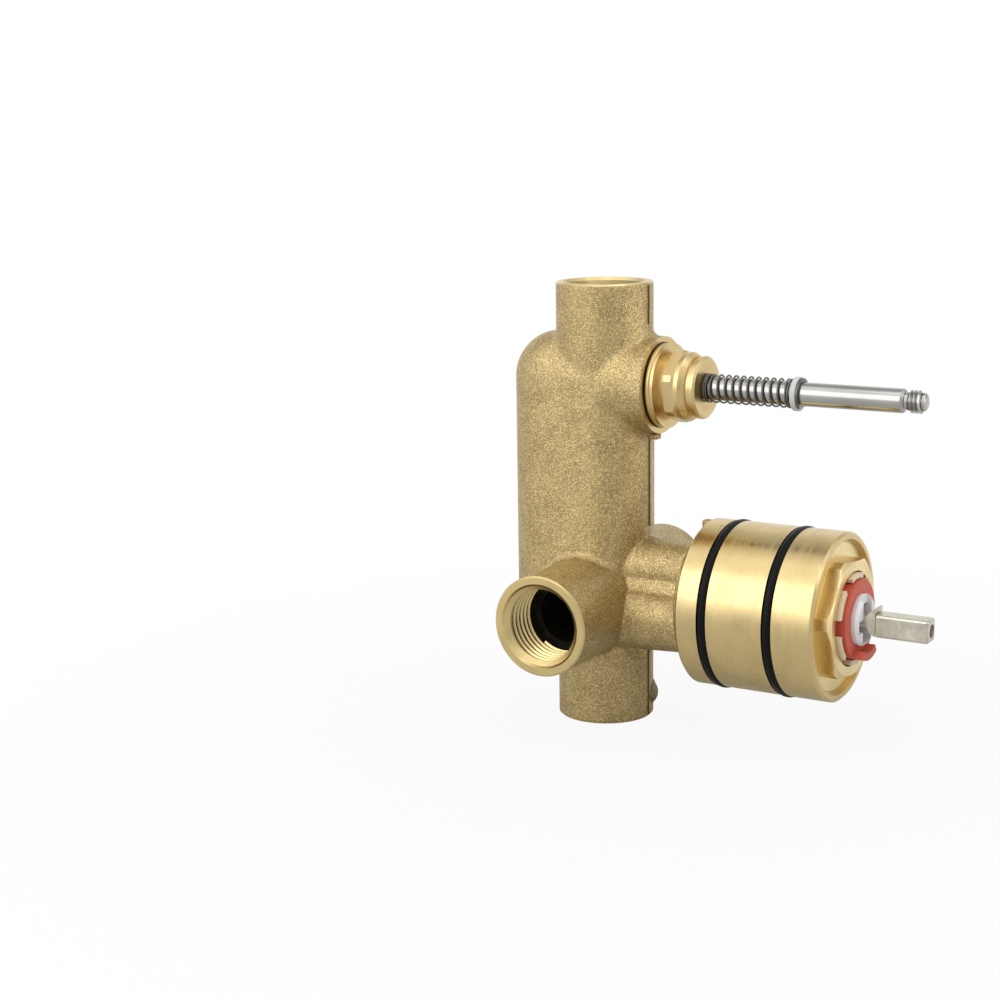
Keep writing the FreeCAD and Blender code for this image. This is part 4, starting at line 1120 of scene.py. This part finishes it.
def white_to_the_eye(tree, lit, seen_share, mirrored_share):
    """White mixed over a shader, by one share for the camera and one for mirrored and bent rays."""
    rays = tree.nodes.new("ShaderNodeLightPath").outputs
    mirrored = math_node(tree, "MAXIMUM", rays["Is Glossy Ray"], rays["Is Transmission Ray"])
    seen = math_node(tree, "MULTIPLY", rays["Is Camera Ray"], seen_share)
    share = math_node(tree, "MAXIMUM", seen, math_node(tree, "MULTIPLY", mirrored, mirrored_share))
    glow = tree.nodes.new("ShaderNodeEmission")
    mix = tree.nodes.new("ShaderNodeMixShader")
    tree.links.new(share, mix.inputs[0])
    tree.links.new(lit, mix.inputs[1])
    tree.links.new(glow.outputs[0], mix.inputs[2])
    return mix.outputs[0]


def along(tree, vector, direction):
    """Length of a vector socket along a direction."""
    product = tree.nodes.new("ShaderNodeVectorMath")
    product.operation = "DOT_PRODUCT"
    product.inputs[1].default_value = Vector(direction).normalized()
    tree.links.new(vector, product.inputs[0])
    return product.outputs["Value"]


def facing(tree, direction):
    """How far a ray of the world points in a direction, from -1 to 1."""
    coordinates = tree.nodes.new("ShaderNodeTexCoord")
    return along(tree, coordinates.outputs["Generated"], direction)


def view_axes():
    """Right, up and forward directions of the camera."""
    studio = bpy.context.scene.valve_studio
    yaw, pitch, roll = studio.camera_yaw, studio.camera_pitch, studio.camera_roll
    level = math.cos(pitch)
    forward = Vector((math.sin(yaw) * level, math.cos(yaw) * level, -math.sin(pitch)))
    right = Vector((math.cos(yaw), -math.sin(yaw), 0))
    up = right.cross(forward)
    leaning_right = right * math.cos(roll) - up * math.sin(roll)
    leaning_up = right * math.sin(roll) + up * math.cos(roll)
    return leaning_right, leaning_up, forward


def build_floor():
    """Floor that the camera sees as white, apart from the valve's shadow."""
    bm = bmesh.new()
    bmesh.ops.create_grid(bm, x_segments=1, y_segments=1, size=FLOOR_HALF)
    bmesh.ops.translate(bm, vec=(0, 0, BODY_LOW.z - FLOOR_GAP), verts=bm.verts)
    mesh = bpy.data.meshes.new("studio_floor")
    bm.to_mesh(mesh)
    bm.free()
    floor = add_object("studio_floor", mesh)
    material, shader = shaded("pale_floor", finishes().floor, 0.0, 0.9)
    tree = material.node_tree
    place = place_on(tree, FLOOR_CENTRE)
    distance = tree.nodes.new("ShaderNodeVectorMath")
    distance.operation = "LENGTH"
    tree.links.new(place, distance.inputs[0])
    seen = stretch(tree, distance.outputs["Value"], *SHADOW_EDGE, 0.92, 1.0)
    right, _, forward = view_axes()
    bright_sides = ((0.5 * forward + 0.86 * right, 0.75), (0.3 * forward - 0.95 * right, 0.45))
    mirrored = 0.12
    for direction, share in bright_sides:
        side = stretch(tree, along(tree, place, direction), *MIRRORED_EDGE, 0.0, share)
        mirrored = math_node(tree, "ADD", mirrored, side)
    surface = white_to_the_eye(tree, shader.outputs[0], seen, mirrored)
    tree.links.new(surface, tree.nodes["Material Output"].inputs["Surface"])
    mesh.materials.append(material)


def build_sky():
    """Dim room with three soft windows, white behind the valve."""
    studio = bpy.context.scene.valve_studio
    world = bpy.data.worlds.new("studio_room")
    bpy.context.scene.world = world
    world.use_nodes = True
    tree = world.node_tree
    room = tree.nodes["Background"]
    room.inputs["Color"].default_value = (1.0, 1.0, 1.0, 1.0)
    right, up, forward = view_axes()
    # Direction of each window, how near it a ray starts to brighten, and its level
    windows = (
        (-0.42 * forward - 0.91 * right + 0.15 * up, 0.2, studio.left_window),
        (-0.42 * forward + 0.91 * right + 0.3 * up, 0.2, studio.right_window),
        (Vector((0, 0, 1)), 0.4, studio.top_window),
    )
    level = studio.room_level
    for direction, edge, brightness in windows:
        glow = stretch(tree, facing(tree, direction), edge, 0.9, 0.0, brightness)
        level = math_node(tree, "ADD", level, glow)
    tree.links.new(level, room.inputs["Strength"])
    backdrop = stretch(tree, facing(tree, forward), 0.35, 0.75)
    surface = white_to_the_eye(tree, room.outputs[0], 1.0, backdrop)
    tree.links.new(surface, tree.nodes["World Output"].inputs["Surface"])


def soft_lamp(name, place, size, power):
    """Rectangular lamp that points at the valve."""
    data = bpy.data.lights.new(name, "AREA")
    data.shape = "RECTANGLE"
    data.size, data.size_y = size
    data.energy = power
    lamp = add_object(name, data)
    lamp.location = place
    lamp.rotation_mode = "QUATERNION"
    lamp.rotation_quaternion = (Vector(AIM) - Vector(place)).to_track_quat("-Z", "Y")


def build_camera():
    """Camera at the viewing angle of the settings."""
    studio = bpy.context.scene.valve_studio
    right, up, forward = view_axes()
    data = bpy.data.cameras.new("studio_camera")
    data.lens = studio.lens
    data.sensor_width = 36.0
    data.clip_start = 0.01
    data.clip_end = 20.0
    camera = add_object("studio_camera", data)
    axes = Matrix((right, up, -forward)).transposed()
    camera.matrix_world = Matrix.Translation(studio.camera_place) @ axes.to_4x4()
    bpy.context.scene.camera = camera


def build_stage():
    """Floor, room, camera and lamps."""
    studio = bpy.context.scene.valve_studio
    bpy.context.scene.view_settings.view_transform = "Standard"
    build_floor()
    build_sky()
    build_camera()
    soft_lamp("key_lamp", place=(-0.60, 0.25, 0.40), size=(0.5, 0.5), power=studio.key_power)
    soft_lamp("fill_lamp", place=(0.15, -0.65, 0.25), size=(0.4, 0.4), power=studio.fill_power)
    soft_lamp("top_lamp", place=(-0.05, -0.10, 0.75), size=(0.6, 0.4), power=studio.top_power)


# Operators, panel and registration

class VALVE_OT_casting(bpy.types.Operator):
    """Builds the brass casting with its machined faces and mould marks"""

    bl_idname = "valve.casting"
    bl_label = "Casting"

    def execute(self, context):
        build_casting()
        build_seam()
        build_gate()
        build_flash()
        return {"FINISHED"}


class VALVE_OT_port_threads(bpy.types.Operator):
    """Cuts the pipe thread in the four ports"""

    bl_idname = "valve.port_threads"
    bl_label = "Port threads"

    def execute(self, context):
        build_port_threads()
        return {"FINISHED"}


class VALVE_OT_cartridge(bpy.types.Operator):
    """Builds the cartridge's visible pieces, its nut, lever and the cup's O-rings"""

    bl_idname = "valve.cartridge"
    bl_label = "Cartridge"

    def execute(self, context):
        build_cartridge()
        return {"FINISHED"}


class VALVE_OT_diverter(bpy.types.Operator):
    """Builds the diverter's bonnet, rod, spring and washers"""

    bl_idname = "valve.diverter"
    bl_label = "Diverter"

    def execute(self, context):
        build_diverter()
        return {"FINISHED"}


class VALVE_OT_inner_pieces(bpy.types.Operator):
    """Gives the hidden pieces their materials"""

    bl_idname = "valve.inner_pieces"
    bl_label = "Inner pieces"

    def execute(self, context):
        dress_inner_pieces()
        return {"FINISHED"}


class VALVE_OT_stage(bpy.types.Operator):
    """Builds the floor, the room's light, the lamps and the camera"""

    bl_idname = "valve.stage"
    bl_label = "Stage"

    def execute(self, context):
        build_stage()
        return {"FINISHED"}


OPERATORS = (
    VALVE_OT_casting,
    VALVE_OT_port_threads,
    VALVE_OT_cartridge,
    VALVE_OT_diverter,
    VALVE_OT_inner_pieces,
    VALVE_OT_stage,
)
SETTINGS = {
    "valve_casting": CastingSizes,
    "valve_threads": ThreadSizes,
    "valve_spring": SpringSizes,
    "valve_finishes": Finishes,
    "valve_studio": StudioSettings,
}


class VALVE_PT_pieces(bpy.types.Panel):
    """Lists the valve's pieces and settings"""

    bl_idname = "VALVE_PT_pieces"
    bl_label = "Valve"
    bl_space_type = "VIEW_3D"
    bl_region_type = "UI"
    bl_category = "Valve"

    def draw(self, context):
        for operator in OPERATORS:
            self.layout.operator(operator.bl_idname)
        for name, group in SETTINGS.items():
            box = self.layout.box()
            box.label(text=group.__doc__)
            for label in group.__annotations__:
                box.prop(getattr(context.scene, name), label)


CLASSES = (*SETTINGS.values(), *OPERATORS, VALVE_PT_pieces)


def register():
    for cls in CLASSES:
        bpy.utils.register_class(cls)
    for name, group in SETTINGS.items():
        setattr(bpy.types.Scene, name, PointerProperty(type=group))


def unregister():
    for name in SETTINGS:
        delattr(bpy.types.Scene, name)
    for cls in reversed(CLASSES):
        bpy.utils.unregister_class(cls)


def main():
    register()
    bpy.ops.valve.casting()
    bpy.ops.valve.port_threads()
    bpy.ops.valve.cartridge()
    bpy.ops.valve.diverter()
    bpy.ops.valve.inner_pieces()
    bpy.ops.valve.stage()


if __name__ == "__main__":
    main()
